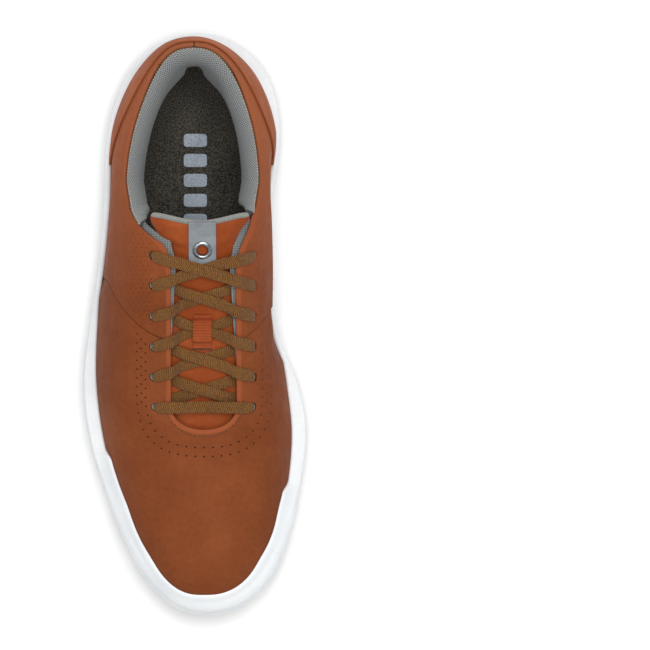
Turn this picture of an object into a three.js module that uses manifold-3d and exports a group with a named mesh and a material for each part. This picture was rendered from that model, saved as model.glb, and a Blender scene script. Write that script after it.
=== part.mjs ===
// Right golf shoe: lace-up leather upper with a padded collar on a white cup sole.
// Millimetres. +X is the inner (medial) side, +Y the heel, -Y the toe, +Z up; z = 0 is the ground.
import * as THREE from 'three';
import { LoftGeometry } from 'three/addons/geometries/LoftGeometry.js';
import { mergeVertices } from 'three/addons/utils/BufferGeometryUtils.js';
import Module from 'manifold-3d';

// ---- Driving dimensions ----

// Outlines in plan, from the back of the heel down the outer side, round the toe and back.
const SOLE_OUTLINE = [
  [2, 150], [-18, 145], [-33, 131], [-42, 112], [-46, 90], [-47, 62], [-50, 30],
  [-54, 4], [-57.5, -30], [-54.5, -58], [-47, -84], [-38, -108], [-26, -131], [-10, -146],
  [6, -150], [24, -146], [39, -133], [48, -112], [54, -86], [57.5, -54], [53, -30],
  [43.5, -6], [40, 30], [40, 64], [44, 94], [42, 116], [34, 134], [20, 145.5],
];
const UPPER_OUTLINE = [
  [0, 147], [-15, 143.5], [-28, 131], [-38, 112], [-43, 92], [-45.5, 64], [-47.5, 36],
  [-50, 4], [-51, -28], [-47.5, -58], [-41, -84], [-33, -108], [-21.5, -129], [-8, -140.5],
  [5, -143.5], [20, -140], [34, -128], [43.5, -108], [48, -84], [50, -56], [47.5, -32],
  [44, -8], [43, 30], [42.5, 64], [41.5, 94], [37, 114], [28, 131], [14, 143],
];

// Heights, each a smooth curve through [y, value] knots.
const RIM_TOP = [
  [-150, 38], [-125, 35], [-100, 29], [-82, 25], [-50, 24], [0, 26], [60, 28], [110, 31], [150, 32],
];
const STACK = [[-150, 16.3], [-50, 16.3], [0, 18.5], [60, 21.5], [150, 22]];
const CROWN = [
  [-143.5, 30], [-120, 34], [-100, 39], [-75, 46], [-50, 54], [0, 70], [35, 82],
  [50, 80], [70, 73], [100, 73], [125, 74], [147, 72],
];
const COLLAR_TOP = [
  [42, 99], [45, 96], [52, 88], [60, 79], [75, 71.5], [95, 74], [120, 79], [141, 80.5], [150, 81],
];
const RIDGE_X = [[-143.5, 5], [-100, 5.2], [-50, 5.2], [0, 5], [30, 4], [60, 2], [100, 0], [147, 0]];

const TOE_SPRING = 12;        // how far the toe end of the sole rises
const TOE_SPRING_FROM = -80;
const HEEL_BEVEL = 3;         // how far the back of the heel rises
const HEEL_BEVEL_FROM = 125;

// Sections of the upper are superellipses with these exponents.
const SIDE_POWER = 2.8;
const TOP_POWER = 2.1;

// Layers of the upper, as depths below its outer surface.
const GAP = 0.3;
const LEATHER = [0, 1.4];
const STIFFENER = [1.7, 2.3];
const COUNTER = [1.7, 2.3];
const LINING = [2.6, 3.2];
const FOXING = [-1.3, -0.3];
const COLLAR_ROLL = [1.7, 8.3];
const COLLAR_FOAM = [3.0, 7.0];
const TONGUE_LEATHER = [5.7, 6.6];
const TONGUE_FOAM = [6.9, 9.7];
const TONGUE_LINING = [10.0, 10.7];

// Layers of the sole, as heights above the ground line.
const LUG = 3.5;
const OUTSOLE_TOP = 6;
const CUP_FLOOR = 9.3;
const BOARD = 1.4;
const SHANK = 1.2;

// Throat, eyelets and lace.
const THROAT_X = 5;
const THROAT_HALF = 17.1;
const THROAT_BOTTOM = -54.4;
const EYELET_ROWS = [35.1, 19.2, 3.6, -11.8, -27.3, -42.6];   // A at the top to F at the bottom
const EYELET_OUT = [26.3, 26.3, 26.2, 26.1, 25.9, 25.2];      // distance from the throat's centre
const EYELET_HOLE = 2.3;
const LACE_WIDTH = 6.2;
const LACE_THICK = 1.0;
const AGLET_RADIUS = 1.4;
const AGLET_LENGTH = 20;

// The free top of the tongue.
const FLAP_ROOT_Y = 31.8;
const FLAP_LENGTH = 26;
const FLAP_ROOT_HALF = 16;
const FLAP_TOP_HALF = 22.5;
const FLAP_TOP_X = 3.2;

// ---- Modelling helpers ----

const wasm = await Module();
wasm.setup();

function solid(geometry) {
  const bare = new THREE.BufferGeometry();
  bare.setAttribute('position', geometry.attributes.position);
  bare.setIndex(geometry.index);
  const merged = mergeVertices(bare, 1e-4);
  return new wasm.Manifold(new wasm.Mesh({
    numProp: 3,
    vertProperties: new Float32Array(merged.attributes.position.array),
    triVerts: new Uint32Array(merged.index.array),
  }));
}

// A smooth curve through [y, value] knots that never overshoots them.
function curve(knots) {
  const n = knots.length;
  const slope = [];
  for (let i = 0; i < n - 1; i++) {
    slope.push((knots[i + 1][1] - knots[i][1]) / (knots[i + 1][0] - knots[i][0]));
  }
  const tangent = knots.map((knot, i) => {
    if (i === 0) return slope[0];
    if (i === n - 1) return slope[n - 2];
    const product = slope[i - 1] * slope[i];
    return product <= 0 ? 0 : 2 * product / (slope[i - 1] + slope[i]);
  });
  return (q) => {
    const x = Math.min(Math.max(q, knots[0][0]), knots[n - 1][0]);
    let i = 0;
    while (i < n - 2 && x > knots[i + 1][0]) i++;
    const h = knots[i + 1][0] - knots[i][0];
    const t = (x - knots[i][0]) / h;
    const a = (2 * t ** 3 - 3 * t ** 2 + 1) * knots[i][1] + (t ** 3 - 2 * t ** 2 + t) * h * tangent[i];
    const b = (3 * t ** 2 - 2 * t ** 3) * knots[i + 1][1] + (t ** 3 - t ** 2) * h * tangent[i + 1];
    return a + b;
  };
}

const clamp = (value, low, high) => Math.min(Math.max(value, low), high);
const mix = (a, b, t) => a + (b - a) * t;

function smooth(low, high, value) {
  const t = clamp((value - low) / (high - low), 0, 1);
  return t * t * (3 - 2 * t);
}

// A closed outline as a smooth loop, with its edges at any y.
function outline(points) {
  const corners = points.map(([x, y]) => new THREE.Vector3(x, y, 0));
  const loop = new THREE.CatmullRomCurve3(corners, true, 'centripetal');
  const fine = loop.getPoints(840).slice(0, -1);
  const toe = fine.reduce((best, p, i) => (p.y < fine[best].y ? i : best), 0);
  const heel = fine.reduce((best, p, i) => (p.y > fine[best].y ? i : best), 0);
  const turned = [...fine.slice(heel), ...fine.slice(0, heel)];
  const split = (toe - heel + fine.length) % fine.length;
  const outer = turned.slice(0, split + 1);
  const inner = [...turned.slice(split), turned[0]].reverse();
  const edge = (side) => (y) => {
    let i = 0;
    while (i < side.length - 2 && side[i + 1].y > y) i++;
    const t = clamp((y - side[i].y) / (side[i + 1].y - side[i].y || 1), 0, 1);
    return mix(side[i].x, side[i + 1].x, t);
  };
  const ends = { toeY: fine[toe].y, heelY: fine[heel].y, toeX: fine[toe].x };
  return { loop, ...ends, left: edge(outer), right: edge(inner) };
}

// The loop moved inwards by a distance that may change with y, as [x, y] points.
function insetLoop(shape, distance, count = 56) {
  const points = [];
  for (let i = 0; i < count; i++) {
    const p = shape.loop.getPoint(i / count);
    const t = shape.loop.getTangent(i / count);
    const d = typeof distance === 'function' ? distance(p.y, p.x) : distance;
    points.push([p.x - t.y * d, p.y + t.x * d]);
  }
  return points;
}

// A closed body between two grids of points; u runs towards +X and v towards +Y.
function slab(nu, nv, top, bottom) {
  const positions = [];
  const faces = [];
  for (const sheet of [top, bottom]) {
    for (let j = 0; j <= nv; j++) {
      for (let i = 0; i <= nu; i++) positions.push(...sheet(i / nu, j / nv).toArray());
    }
  }
  const cols = nu + 1;
  const under = cols * (nv + 1);
  const t = (i, j) => j * cols + i;
  const b = (i, j) => under + j * cols + i;
  const quad = (p, q, r, s) => faces.push(p, q, r, p, r, s);
  for (let j = 0; j < nv; j++) {
    for (let i = 0; i < nu; i++) {
      quad(t(i, j), t(i + 1, j), t(i + 1, j + 1), t(i, j + 1));
      quad(b(i, j + 1), b(i + 1, j + 1), b(i + 1, j), b(i, j));
    }
    quad(b(0, j + 1), b(0, j), t(0, j), t(0, j + 1));
    quad(b(nu, j), b(nu, j + 1), t(nu, j + 1), t(nu, j));
  }
  for (let i = 0; i < nu; i++) {
    quad(b(i, 0), b(i + 1, 0), t(i + 1, 0), t(i, 0));
    quad(b(i + 1, nv), b(i, nv), t(i, nv), t(i + 1, nv));
  }
  const geometry = new THREE.BufferGeometry();
  geometry.setAttribute('position', new THREE.Float32BufferAttribute(positions, 3));
  geometry.setIndex(faces);
  return solid(geometry);
}

// A wide body between two heights that follow y, for cutting layers.
function between(low, high, yMin = -160, yMax = 160, steps = 20) {
  const point = (height) => (u, v) => {
    const y = mix(yMin, yMax, v);
    return new THREE.Vector3(mix(-90, 90, u), y, height(y));
  };
  return slab(1, steps, point(high), point(low));
}

// An upright prism on a plan polygon.
function prism(points, low = -20, high = 150) {
  const shape = new THREE.Shape(points.map(([x, y]) => new THREE.Vector2(x, y)));
  const options = { depth: high - low, bevelEnabled: false, curveSegments: 1 };
  const geometry = new THREE.ExtrudeGeometry(shape, options);
  geometry.translate(0, 0, low);
  return solid(geometry);
}

// ---- The shape of the foot ----

const sole = outline(SOLE_OUTLINE);
const upper = outline(UPPER_OUTLINE);
const rimTop = curve(RIM_TOP);
const stack = curve(STACK);
const crown = curve(CROWN);
const collarTop = curve(COLLAR_TOP);
const ridge = curve(RIDGE_X);

function ground(y) {
  const toe = Math.max(0, (TOE_SPRING_FROM - y) / (150 + TOE_SPRING_FROM));
  const heel = Math.max(0, (y - HEEL_BEVEL_FROM) / (150 - HEEL_BEVEL_FROM));
  return TOE_SPRING * toe ** 2 + HEEL_BEVEL * heel ** 2;
}

const footbed = (y) => ground(y) + stack(y);

// The crown closes down at the toe and at the back of the heel.
function closing(y) {
  const toe = clamp((-95 - y) / (upper.toeY + 95) * -1, 0, 1);
  const heel = clamp((y - 105) / (upper.heelY - 105), 0, 1);
  return (1 - toe ** 2.8) ** (1 / 2.2) * (1 - heel ** 9) ** (1 / 2.2);
}

// The bottom edge of the upper tucks in where the sole is narrower than the upper.
function tuck(y, side) {
  const wide = side > 0 ? upper.right(y) : -upper.left(y);
  const limit = side > 0 ? sole.right(y) : -sole.left(y);
  return Math.max(0, wide - limit + 3.2);
}

// A point on the upper's outer surface: v runs from toe to heel, angle from -90 (outer) to 90 (inner).
const stationY = (v) => mix(upper.toeY, upper.heelY, (1 - Math.cos(Math.PI * v)) / 2);

function surface(y, angle) {
  const side = angle < 0 ? -1 : 1;
  const fromToe = y - upper.toeY;
  const middle = Math.abs(fromToe) < 12 ? mix(upper.toeX, ridge(y), fromToe / 12) : ridge(y);
  const width = side > 0 ? upper.right(y) - middle : middle - upper.left(y);
  const across = Math.abs(Math.sin(angle)) ** (2 / SIDE_POWER);
  const rise = crown(y) * closing(y) * Math.abs(Math.cos(angle)) ** (2 / TOP_POWER);
  const pull = tuck(y, side) * (1 - smooth(11, 38, rise));
  const out = (Math.max(width, 0) - pull) * across;
  return new THREE.Vector3(middle + side * out, y, footbed(y) + rise);
}

// The same surface moved inwards along its normal.
const V_STEP = 0.004;
function inside(v, angle, depth) {
  const at = (dv, da) => {
    const vv = clamp(v + dv, 0.002, 0.998);
    return surface(stationY(vv), clamp(angle + da, -1.5707, 1.5707));
  };
  const along = at(V_STEP, 0).sub(at(-V_STEP, 0));
  const around = at(0, 0.03).sub(at(0, -0.03));
  const normal = around.cross(along).normalize();
  return surface(stationY(v), angle).addScaledVector(normal, -depth);
}

const AROUND = 12;
const ALONG = 24;

// Everything under the upper's surface at a depth, down to a floor.
function lastSolid(depth, floor) {
  const place = (u, v) => [mix(-Math.PI / 2, Math.PI / 2, u), mix(0.012, 0.988, v)];
  const top = (u, v) => {
    const [angle, station] = place(u, v);
    return inside(station, angle, depth);
  };
  const bottom = (u, v) => {
    const left = top(0, v);
    const right = top(1, v);
    const y = mix(left.y, right.y, u);
    return new THREE.Vector3(mix(left.x, right.x, u), y, floor(y));
  };
  return slab(AROUND, ALONG, top, bottom);
}

const lasts = new Map();
function last(depth) {
  if (!lasts.has(depth)) lasts.set(depth, lastSolid(depth, (y) => footbed(y) - 2));
  return lasts.get(depth);
}

const aboveBoard = between((y) => footbed(y) + 0.1, () => 160);
const shell = ([outer, inner]) => last(outer).subtract(last(inner)).intersect(aboveBoard);

// The point at a depth below the surface over a place in plan (the crown only, not the sides).
function over(x, y, depth) {
  const side = x < ridge(y) ? -1 : 1;
  const width = side > 0 ? upper.right(y) - ridge(y) : ridge(y) - upper.left(y);
  const ratio = clamp(Math.abs(x - ridge(y)) / width, 0, 0.999);
  const v = Math.acos(1 - 2 * (y - upper.toeY) / (upper.heelY - upper.toeY)) / Math.PI;
  return inside(v, side * Math.asin(ratio ** (SIDE_POWER / 2)), depth);
}

// ---- Cutters ----

const throatPoints = [];
for (let i = 0; i <= 10; i++) {
  const a = Math.PI * (1 + i / 10);
  const flat = Math.abs(Math.sin(a)) ** 0.8;
  throatPoints.push([THROAT_X + THROAT_HALF * Math.cos(a), THROAT_BOTTOM + 14 - 14 * flat]);
}
throatPoints.push([THROAT_X + THROAT_HALF, 29], [THROAT_X + 19.1, 38], [29, 49.5], [29, 60]);
throatPoints.push([-24.2, 60], [-24.2, 49.5], [THROAT_X - 19.1, 38], [THROAT_X - THROAT_HALF, 29]);
const throat = prism(throatPoints);

const collarCut = between(collarTop, () => 160, 42, 160);

const VAMP_SEAM = [
  [-75, 50], [-45.4, 22.6], [-36, 7.2], [-25.6, -2.6], [-14.9, -7.7], [THROAT_X, -8.2],
  [23.8, -8.2], [27.9, -5.7], [34.1, 0], [43.9, 14.4], [75, 48],
];
function vampSide(shift) {
  const seam = VAMP_SEAM.map(([x, y]) => [x, y + shift]).reverse();
  return prism([...seam, [-75, -200], [75, -200]]);
}

function eyelets() {
  const holes = [];
  EYELET_ROWS.forEach((y, row) => {
    for (const side of [-1, 1]) {
      const x = THROAT_X + side * EYELET_OUT[row];
      const geometry = new THREE.CylinderGeometry(EYELET_HOLE, EYELET_HOLE, 12, 10);
      const axis = over(x, y, -3).sub(over(x, y, 3)).normalize();
      geometry.applyQuaternion(new THREE.Quaternion().setFromUnitVectors(new THREE.Vector3(0, 1, 0), axis));
      const middle = over(x, y, 1.6);
      geometry.translate(middle.x, middle.y, middle.z);
      holes.push(solid(geometry));
    }
  });
  return wasm.Manifold.union(holes);
}
const holes = eyelets();

const region = (xMin, xMax, yMin, yMax) => prism([[xMin, yMin], [xMax, yMin], [xMax, yMax], [xMin, yMax]]);

// ---- Sole ----

const parts = new Map();

const soleColumn = (inset) => prism(insetLoop(sole, inset).reverse());
const upperFoot = (inset) => {
  const points = [];
  for (let i = 0; i < 56; i++) {
    const t = i / 28;
    const side = t < 1 ? -1 : 1;
    const v = t < 1 ? 1 - t : t - 1;
    const gap = typeof inset === 'function' ? inset(stationY(v)) : inset;
    const p = inside(mix(0.012, 0.988, v), side * Math.PI / 2, gap);
    points.push([p.x, p.y]);
  }
  return prism(points);
};

function cupBody() {
  const rings = [
    [1.2, () => -6], [1.2, (y) => ground(y) + 6], [0, (y) => ground(y) + 13],
    [(y) => 0.3 + 2.6 * smooth(-95, -145, y), (y) => rimTop(y) - 5],
    [(y) => 0.9 + 6.6 * smooth(-80, -140, y), rimTop], [20, rimTop],
  ];
  const count = 56;
  const positions = [];
  const faces = [];
  for (const [inset, height] of rings) {
    insetLoop(sole, inset, count).forEach(([x, y]) => positions.push(x, y, height(y)));
  }
  for (let k = 0; k < rings.length - 1; k++) {
    for (let i = 0; i < count; i++) {
      const a = k * count + i;
      const b = k * count + (i + 1) % count;
      faces.push(a, b, a + count, b, b + count, a + count);
    }
  }
  const cap = (ring, up) => {
    const contour = insetLoop(sole, rings[ring][0], count).map(([x, y]) => new THREE.Vector2(x, y));
    for (const [a, b, c] of THREE.ShapeUtils.triangulateShape(contour, [])) {
      const face = [ring * count + a, ring * count + b, ring * count + c];
      faces.push(...(up ? face : face.reverse()));
    }
  };
  cap(0, false);
  cap(rings.length - 1, true);
  const geometry = new THREE.BufferGeometry();
  geometry.setAttribute('position', new THREE.Float32BufferAttribute(positions, 3));
  geometry.setIndex(faces);
  return solid(geometry);
}

const layer = (low, high) => between((y) => ground(y) + low, (y) => ground(y) + high);
const underFoot = (low, high) => between((y) => footbed(y) + low, (y) => footbed(y) + high);

const cup = cupBody().intersect(between((y) => ground(y) + OUTSOLE_TOP + GAP, () => 80))
  .subtract(lastSolid(-GAP, (y) => ground(y) + CUP_FLOOR));
parts.set('midsole_cup', cup);

// Lugs stand in staggered rows, each with a flat tip.
function lugs() {
  const bodies = [];
  for (let row = 0; row < 13; row++) {
    const y = -124 + row * 20;
    for (let column = -2; column <= 2; column++) {
      const middle = (sole.left(y) + sole.right(y)) / 2;
      const x = middle + (column + (row % 2) / 2) * 20;
      const room = Math.min(x - sole.left(y), sole.right(y) - x);
      if (room < 8) continue;
      const height = LUG + 0.8;
      const geometry = new THREE.CylinderGeometry(5, 3.6, height, 6);
      geometry.rotateX(Math.PI / 2);
      geometry.translate(x, y, ground(y) + height / 2);
      bodies.push(solid(geometry));
    }
  }
  return wasm.Manifold.union(bodies);
}
const tread = soleColumn(1.2).intersect(layer(LUG, OUTSOLE_TOP));
parts.set('outsole', tread.add(lugs()));

const shankPlan = (grow) => {
  const points = [];
  for (let i = 0; i < 20; i++) {
    const a = (i / 20) * Math.PI * 2;
    const corner = (value) => Math.sign(value) * Math.abs(value) ** 0.6;
    points.push([(13 + grow) * corner(Math.cos(a)), 28 + (62 + grow) * corner(Math.sin(a))]);
  }
  return prism(points);
};
parts.set('shank_plate', shankPlan(0).intersect(underFoot(-2 - SHANK, -2)));
parts.set('midsole_filler', upperFoot(GAP)
  .intersect(between((y) => ground(y) + CUP_FLOOR + GAP, (y) => footbed(y) - 2))
  .subtract(shankPlan(GAP).intersect(underFoot(-2 - SHANK - GAP, 2))));
parts.set('strobel_board', upperFoot(0.2).intersect(underFoot(-0.2 - BOARD, -0.2)));

const insoleInset = (y) => 4.1 + 5.1 * smooth(15, 42, y);
parts.set('insole_foam', upperFoot(insoleInset).intersect(underFoot(0.4, 4.2)));
parts.set('insole_cover', upperFoot(insoleInset).intersect(underFoot(4.5, 5.4)));

// ---- Upper ----

const leather = shell(LEATHER).subtract(throat).subtract(collarCut).subtract(holes);
parts.set('vamp', leather.intersect(vampSide(0)));
const quarters = leather.subtract(vampSide(0.5));
parts.set('quarter_lateral', quarters.intersect(region(-90, -0.2, -90, 170)));
parts.set('quarter_medial', quarters.intersect(region(0.2, 90, -90, 170)));

const foxingTop = curve([[80, 32], [95, 50], [115, 66], [135, 73], [150, 73.5]]);
parts.set('heel_foxing', shell(FOXING).intersect(region(-90, 90, 82, 170))
  .intersect(between((y) => rimTop(y) + 0.4, foxingTop, 80, 160)));

const frontLining = shell(LINING).subtract(throat).subtract(holes);
parts.set('vamp_lining', frontLining.intersect(region(-90, 90, -170, 42)));

const band = shell(STIFFENER).subtract(throat).subtract(holes);
const bandOut = THROAT_HALF + 17;
const bandRow = (side) => [THROAT_X + 0.2 * side, THROAT_X + bandOut * side].sort((a, b) => a - b);
parts.set('eyestay_stiffener_lateral', band.intersect(region(...bandRow(-1), THROAT_BOTTOM - 12, 41)));
parts.set('eyestay_stiffener_medial', band.intersect(region(...bandRow(1), THROAT_BOTTOM - 12, 41)));
parts.set('toe_puff', shell(STIFFENER).intersect(region(-90, 90, -170, -100)));
parts.set('heel_counter', shell(COUNTER).intersect(region(-90, 90, 76, 170))
  .intersect(between(() => 0, (y) => collarTop(y) - 22)));

const below = (drop) => between(() => -30, (y) => collarTop(y) + drop, 40, 160);
const roll = last(COLLAR_ROLL[0]).subtract(last(COLLAR_ROLL[1])).intersect(aboveBoard).intersect(below(1.5))
  .intersect(region(-90, 90, 42.6, 170));
const skin = COLLAR_ROLL[1] - 1;
const behindSkin = last(1).subtract(last(skin)).intersect(below(-8));
const pocket = last(COLLAR_ROLL[0] + 1).subtract(last(skin))
  .intersect(below(-0.4)).intersect(region(-90, 90, 44, 170));
parts.set('collar_lining', roll.subtract(behindSkin).subtract(pocket).subtract(throat));
parts.set('collar_foam', shell(COLLAR_FOAM).intersect(below(-0.8)).subtract(below(-30))
  .intersect(region(-90, 90, 44.4, 170)).subtract(throat));

// ---- Tongue ----

const rootY = (x) => FLAP_ROOT_Y + 0.3 * Math.abs(x - THROAT_X);
const tongueHalf = (y) => mix(27, 20.5, smooth(0, 34, y)) - 5 * smooth(-45, -80, y);

function tongueLayer([outer, inner]) {
  const sheet = (depth) => (u, v) => {
    const guess = mix(-78, 34, v);
    const x = THROAT_X + (2 * u - 1) * tongueHalf(guess);
    return over(x, mix(-78, rootY(x) - 0.8, v), depth);
  };
  return slab(8, 14, sheet(outer), sheet(inner));
}
parts.set('tongue_leather', tongueLayer(TONGUE_LEATHER));
parts.set('tongue_foam', tongueLayer(TONGUE_FOAM));
parts.set('tongue_lining', tongueLayer(TONGUE_LINING));

// The free top rises from the lacing in a gentle curve.
const flapRoot = over(THROAT_X, FLAP_ROOT_Y, TONGUE_LEATHER[0]);
const flapAngle = (s) => mix(0.28, 0.82, clamp(s / FLAP_LENGTH, 0, 1));

function flapPoint(x, s, depth) {
  const steps = 12;
  let y = flapRoot.y;
  let z = flapRoot.z;
  for (let i = 0; i < steps; i++) {
    const a = flapAngle(((i + 0.5) / steps) * s);
    y += (s / steps) * Math.cos(a);
    z += (s / steps) * Math.sin(a);
  }
  const centre = mix(THROAT_X, FLAP_TOP_X, s / FLAP_LENGTH);
  const droop = 2.8 * (Math.abs(x - centre) / 17) ** 2;
  const a = flapAngle(s);
  return new THREE.Vector3(x, y + depth * Math.sin(a), z - droop - depth * Math.cos(a));
}

function flapLayer(outer, inner) {
  const sheet = (depth) => (u, v) => {
    const across = 2 * u - 1;
    const start = 0.32 * Math.abs(across) * FLAP_ROOT_HALF;
    const end = FLAP_LENGTH - 4.5 * (1 - Math.abs(across) ** 1.6) - 2.5 * Math.abs(across) ** 8;
    const s = mix(start, end, v);
    const centre = mix(THROAT_X, FLAP_TOP_X, s / FLAP_LENGTH);
    return flapPoint(centre + across * mix(FLAP_ROOT_HALF, FLAP_TOP_HALF, smooth(0, 0.9, v)), s, depth);
  };
  return slab(8, 8, sheet(outer), sheet(inner));
}

const EYELET_X = 4.4;
const EYELET_S = 5.8;
function alongNormal(geometry, x, s, depth) {
  const axis = flapPoint(x, s, -3).sub(flapPoint(x, s, 3)).normalize();
  geometry.applyQuaternion(new THREE.Quaternion().setFromUnitVectors(new THREE.Vector3(0, 1, 0), axis));
  const p = flapPoint(x, s, depth);
  geometry.translate(p.x, p.y, p.z);
  return solid(geometry);
}
const eyeletBore = alongNormal(new THREE.CylinderGeometry(3.5, 3.5, 3.2, 16), EYELET_X, EYELET_S, 0);
parts.set('tongue_top_leather', flapLayer(0, 0.9).subtract(eyeletBore));
parts.set('tongue_top_foam', flapLayer(1.9, 4.2));
parts.set('tongue_top_lining', flapLayer(4.5, 5.2));

const tabHalf = 7;
const tabSheet = (depth) => (u, v) => flapPoint(EYELET_X + (2 * u - 1) * tabHalf, mix(0.6, 16.5, v), depth);
parts.set('tongue_tab', slab(4, 6, tabSheet(-1.3), tabSheet(-0.3)).subtract(eyeletBore));

const eyeletProfile = [
  [2.7, -1.4], [3.2, -1.4], [3.2, 0], [4.95, 0], [4.95, 0.35], [4.2, 0.75], [2.7, 0.75],
];
const eyeletOutline = [...eyeletProfile, eyeletProfile[0]].map(([r, h]) => new THREE.Vector2(r, h));
const ring = new THREE.LatheGeometry(eyeletOutline, 20);
parts.set('tab_eyelet', alongNormal(ring, EYELET_X, EYELET_S, -1.75));

// A ribbed strap on the tongue holds one crossing of the lace.
const KEEPER_X = 4.2;
const KEEPER_HALF = 4.9;
const keeperDepth = curve([[-13.9, 5.4], [-11.6, 5.4], [-8.4, 2.6], [0.3, 2.6], [0.9, 5.4], [2.8, 5.4]]);
const keeperTop = curve([[-13.9, 4.6], [-12.2, 4.6], [-9, 1.8], [0.9, 1.8], [1.8, 4.6], [2.8, 4.6]]);
const keeperRows = [-13.9, -12.2, -11.6, -9, -8.4, -4, 0.3, 0.9, 1.8, 2.8];
const keeperSheet = (depth) => (u, v) => {
  const y = keeperRows[Math.round(v * (keeperRows.length - 1))];
  return over(KEEPER_X + (2 * u - 1) * KEEPER_HALF, y, depth(y));
};
parts.set('lace_keeper', slab(3, keeperRows.length - 1, keeperSheet(keeperTop), keeperSheet(keeperDepth)));

// ---- Lace ----

// A lace point: place in plan, depth below the surface, width, and how far the ribbon has turned from
// crossing the throat (0) to running along the shoe (1).
const OVER = -0.9;
const UNDER = 4.85;
const NARROW = 3.4;
const ACROSS = new THREE.Vector3(1, 0, 0);
function onShoe(x, y, depth, width, turn = 0) {
  const lengthways = over(x, y + 1, depth).sub(over(x, y - 1, depth)).normalize();
  const sideways = over(x + 1, y, depth).sub(over(x - 1, y, depth)).normalize();
  return { point: over(x, y, depth), width, across: lengthways.lerp(sideways, turn) };
}

// One crossing from an eyelet on one side to an eyelet on the other.
function crossing(fromRow, toRow, side, from, to, middle, waist = LACE_WIDTH) {
  const fromX = EYELET_OUT[fromRow];
  const toX = -EYELET_OUT[toRow];
  const y = (out) => mix(EYELET_ROWS[fromRow], EYELET_ROWS[toRow], (fromX - out) / (fromX - toX));
  const stops = [
    [fromX - 2.8, from, 4.2], [20.8, from, LACE_WIDTH], [16.3, from, LACE_WIDTH], [11.5, middle, LACE_WIDTH],
    [5, middle, waist], [0, middle, waist], [-5, middle, waist], [-11.5, middle, LACE_WIDTH],
    [-16.3, to, LACE_WIDTH], [-20.8, to, LACE_WIDTH], [toX + 2.8, to, 4.2],
  ];
  return stops.map(([out, depth, width]) => onShoe(THROAT_X + side * out, y(out), depth, width));
}

// Through an eyelet from one level to the other.
function through(row, side, from, to) {
  const x = THROAT_X + side * EYELET_OUT[row];
  const y = EYELET_ROWS[row];
  return [
    onShoe(x - side * 0.8, y, mix(from, to, 0.06), NARROW), onShoe(x, y, mix(from, to, 0.35), NARROW),
    onShoe(x, y, mix(from, to, 0.65), NARROW), onShoe(x - side * 0.8, y, mix(from, to, 0.94), NARROW),
  ];
}

// From the top eyelet down behind the tongue and forward into the toe, folded back once.
function tail(side) {
  const x = THROAT_X + side * EYELET_OUT[0];
  const y = EYELET_ROWS[0];
  const start = [
    onShoe(x - side * 0.8, y, OVER + 0.25, NARROW), onShoe(x, y, 0.9, NARROW), onShoe(x, y, 2.6, NARROW),
    onShoe(x, y, 5.5, NARROW), onShoe(x, y, 9, 4, 0.3), onShoe(x - side * 1, y - 1.5, 12.5, 4.6, 0.7),
    onShoe(x - side * 3.5, y - 7, 16, 5.4, 1), onShoe(x - side * 7, y - 16, 17, LACE_WIDTH, 1),
  ];
  const lane = (yy) => THROAT_X + side * mix(14, 9, smooth(20, -60, yy));
  const upperRun = [0, -20, -40, -60, -80, -96, -106].map((yy) => {
    const high = over(lane(yy), yy, 17);
    const low = new THREE.Vector3(lane(yy), yy, footbed(yy) + 5.4 + 9);
    const point = high.lerp(low, smooth(-20, -100, yy));
    const across = over(lane(yy) + 1, yy, 15).sub(over(lane(yy) - 1, yy, 15));
    return { point, width: LACE_WIDTH, across: across.lerp(ACROSS, smooth(-20, -100, yy)) };
  });
  const lowerRun = [-112, -114, -112, -104, -84, -64, -44, -30].map((yy, i) => {
    const lift = [7.5, 4.8, 2.2, 1.2, 1.2, 1.2, 1.2, 1.2][i];
    const point = new THREE.Vector3(lane(yy), yy, footbed(yy) + 5.4 + lift);
    return { point, width: i > 6 ? 3 : LACE_WIDTH, across: ACROSS };
  });
  return [...start, ...upperRun, ...lowerRun];
}

// Half of the lace, from the bar at the bottom to the tip.
function laceHalf(side) {
  const points = [];
  const last = EYELET_ROWS.length - 1;
  points.push(...through(last, side, OVER, UNDER));
  let at = side;
  for (let row = last; row > 0; row--) {
    const from = row === last ? UNDER : OVER;
    const to = row === 1 ? OVER : UNDER;
    const onTop = at > 0;
    let middle = onTop ? 3.35 : 4.75;
    if (row === 1) middle = onTop ? 0.6 : 1.9;
    const waist = row === 3 ? 4.6 : LACE_WIDTH;
    points.push(...crossing(row, row - 1, at, from, to, middle, waist));
    at = -at;
    if (row > 1) points.push(...through(row - 1, at, UNDER, OVER));
  }
  return [...points, ...tail(at)];
}

function laceBody() {
  const last = EYELET_ROWS.length - 1;
  const bar = [-20.8, -16.3, -8, 0, 8, 16.3, 20.8].map((out) => {
    const depth = mix(0.6, OVER, smooth(0, 15, Math.abs(out)));
    return onShoe(THROAT_X + out, EYELET_ROWS[last], depth, LACE_WIDTH);
  });
  return [...laceHalf(-1).reverse(), ...bar, ...laceHalf(1)];
}

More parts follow.
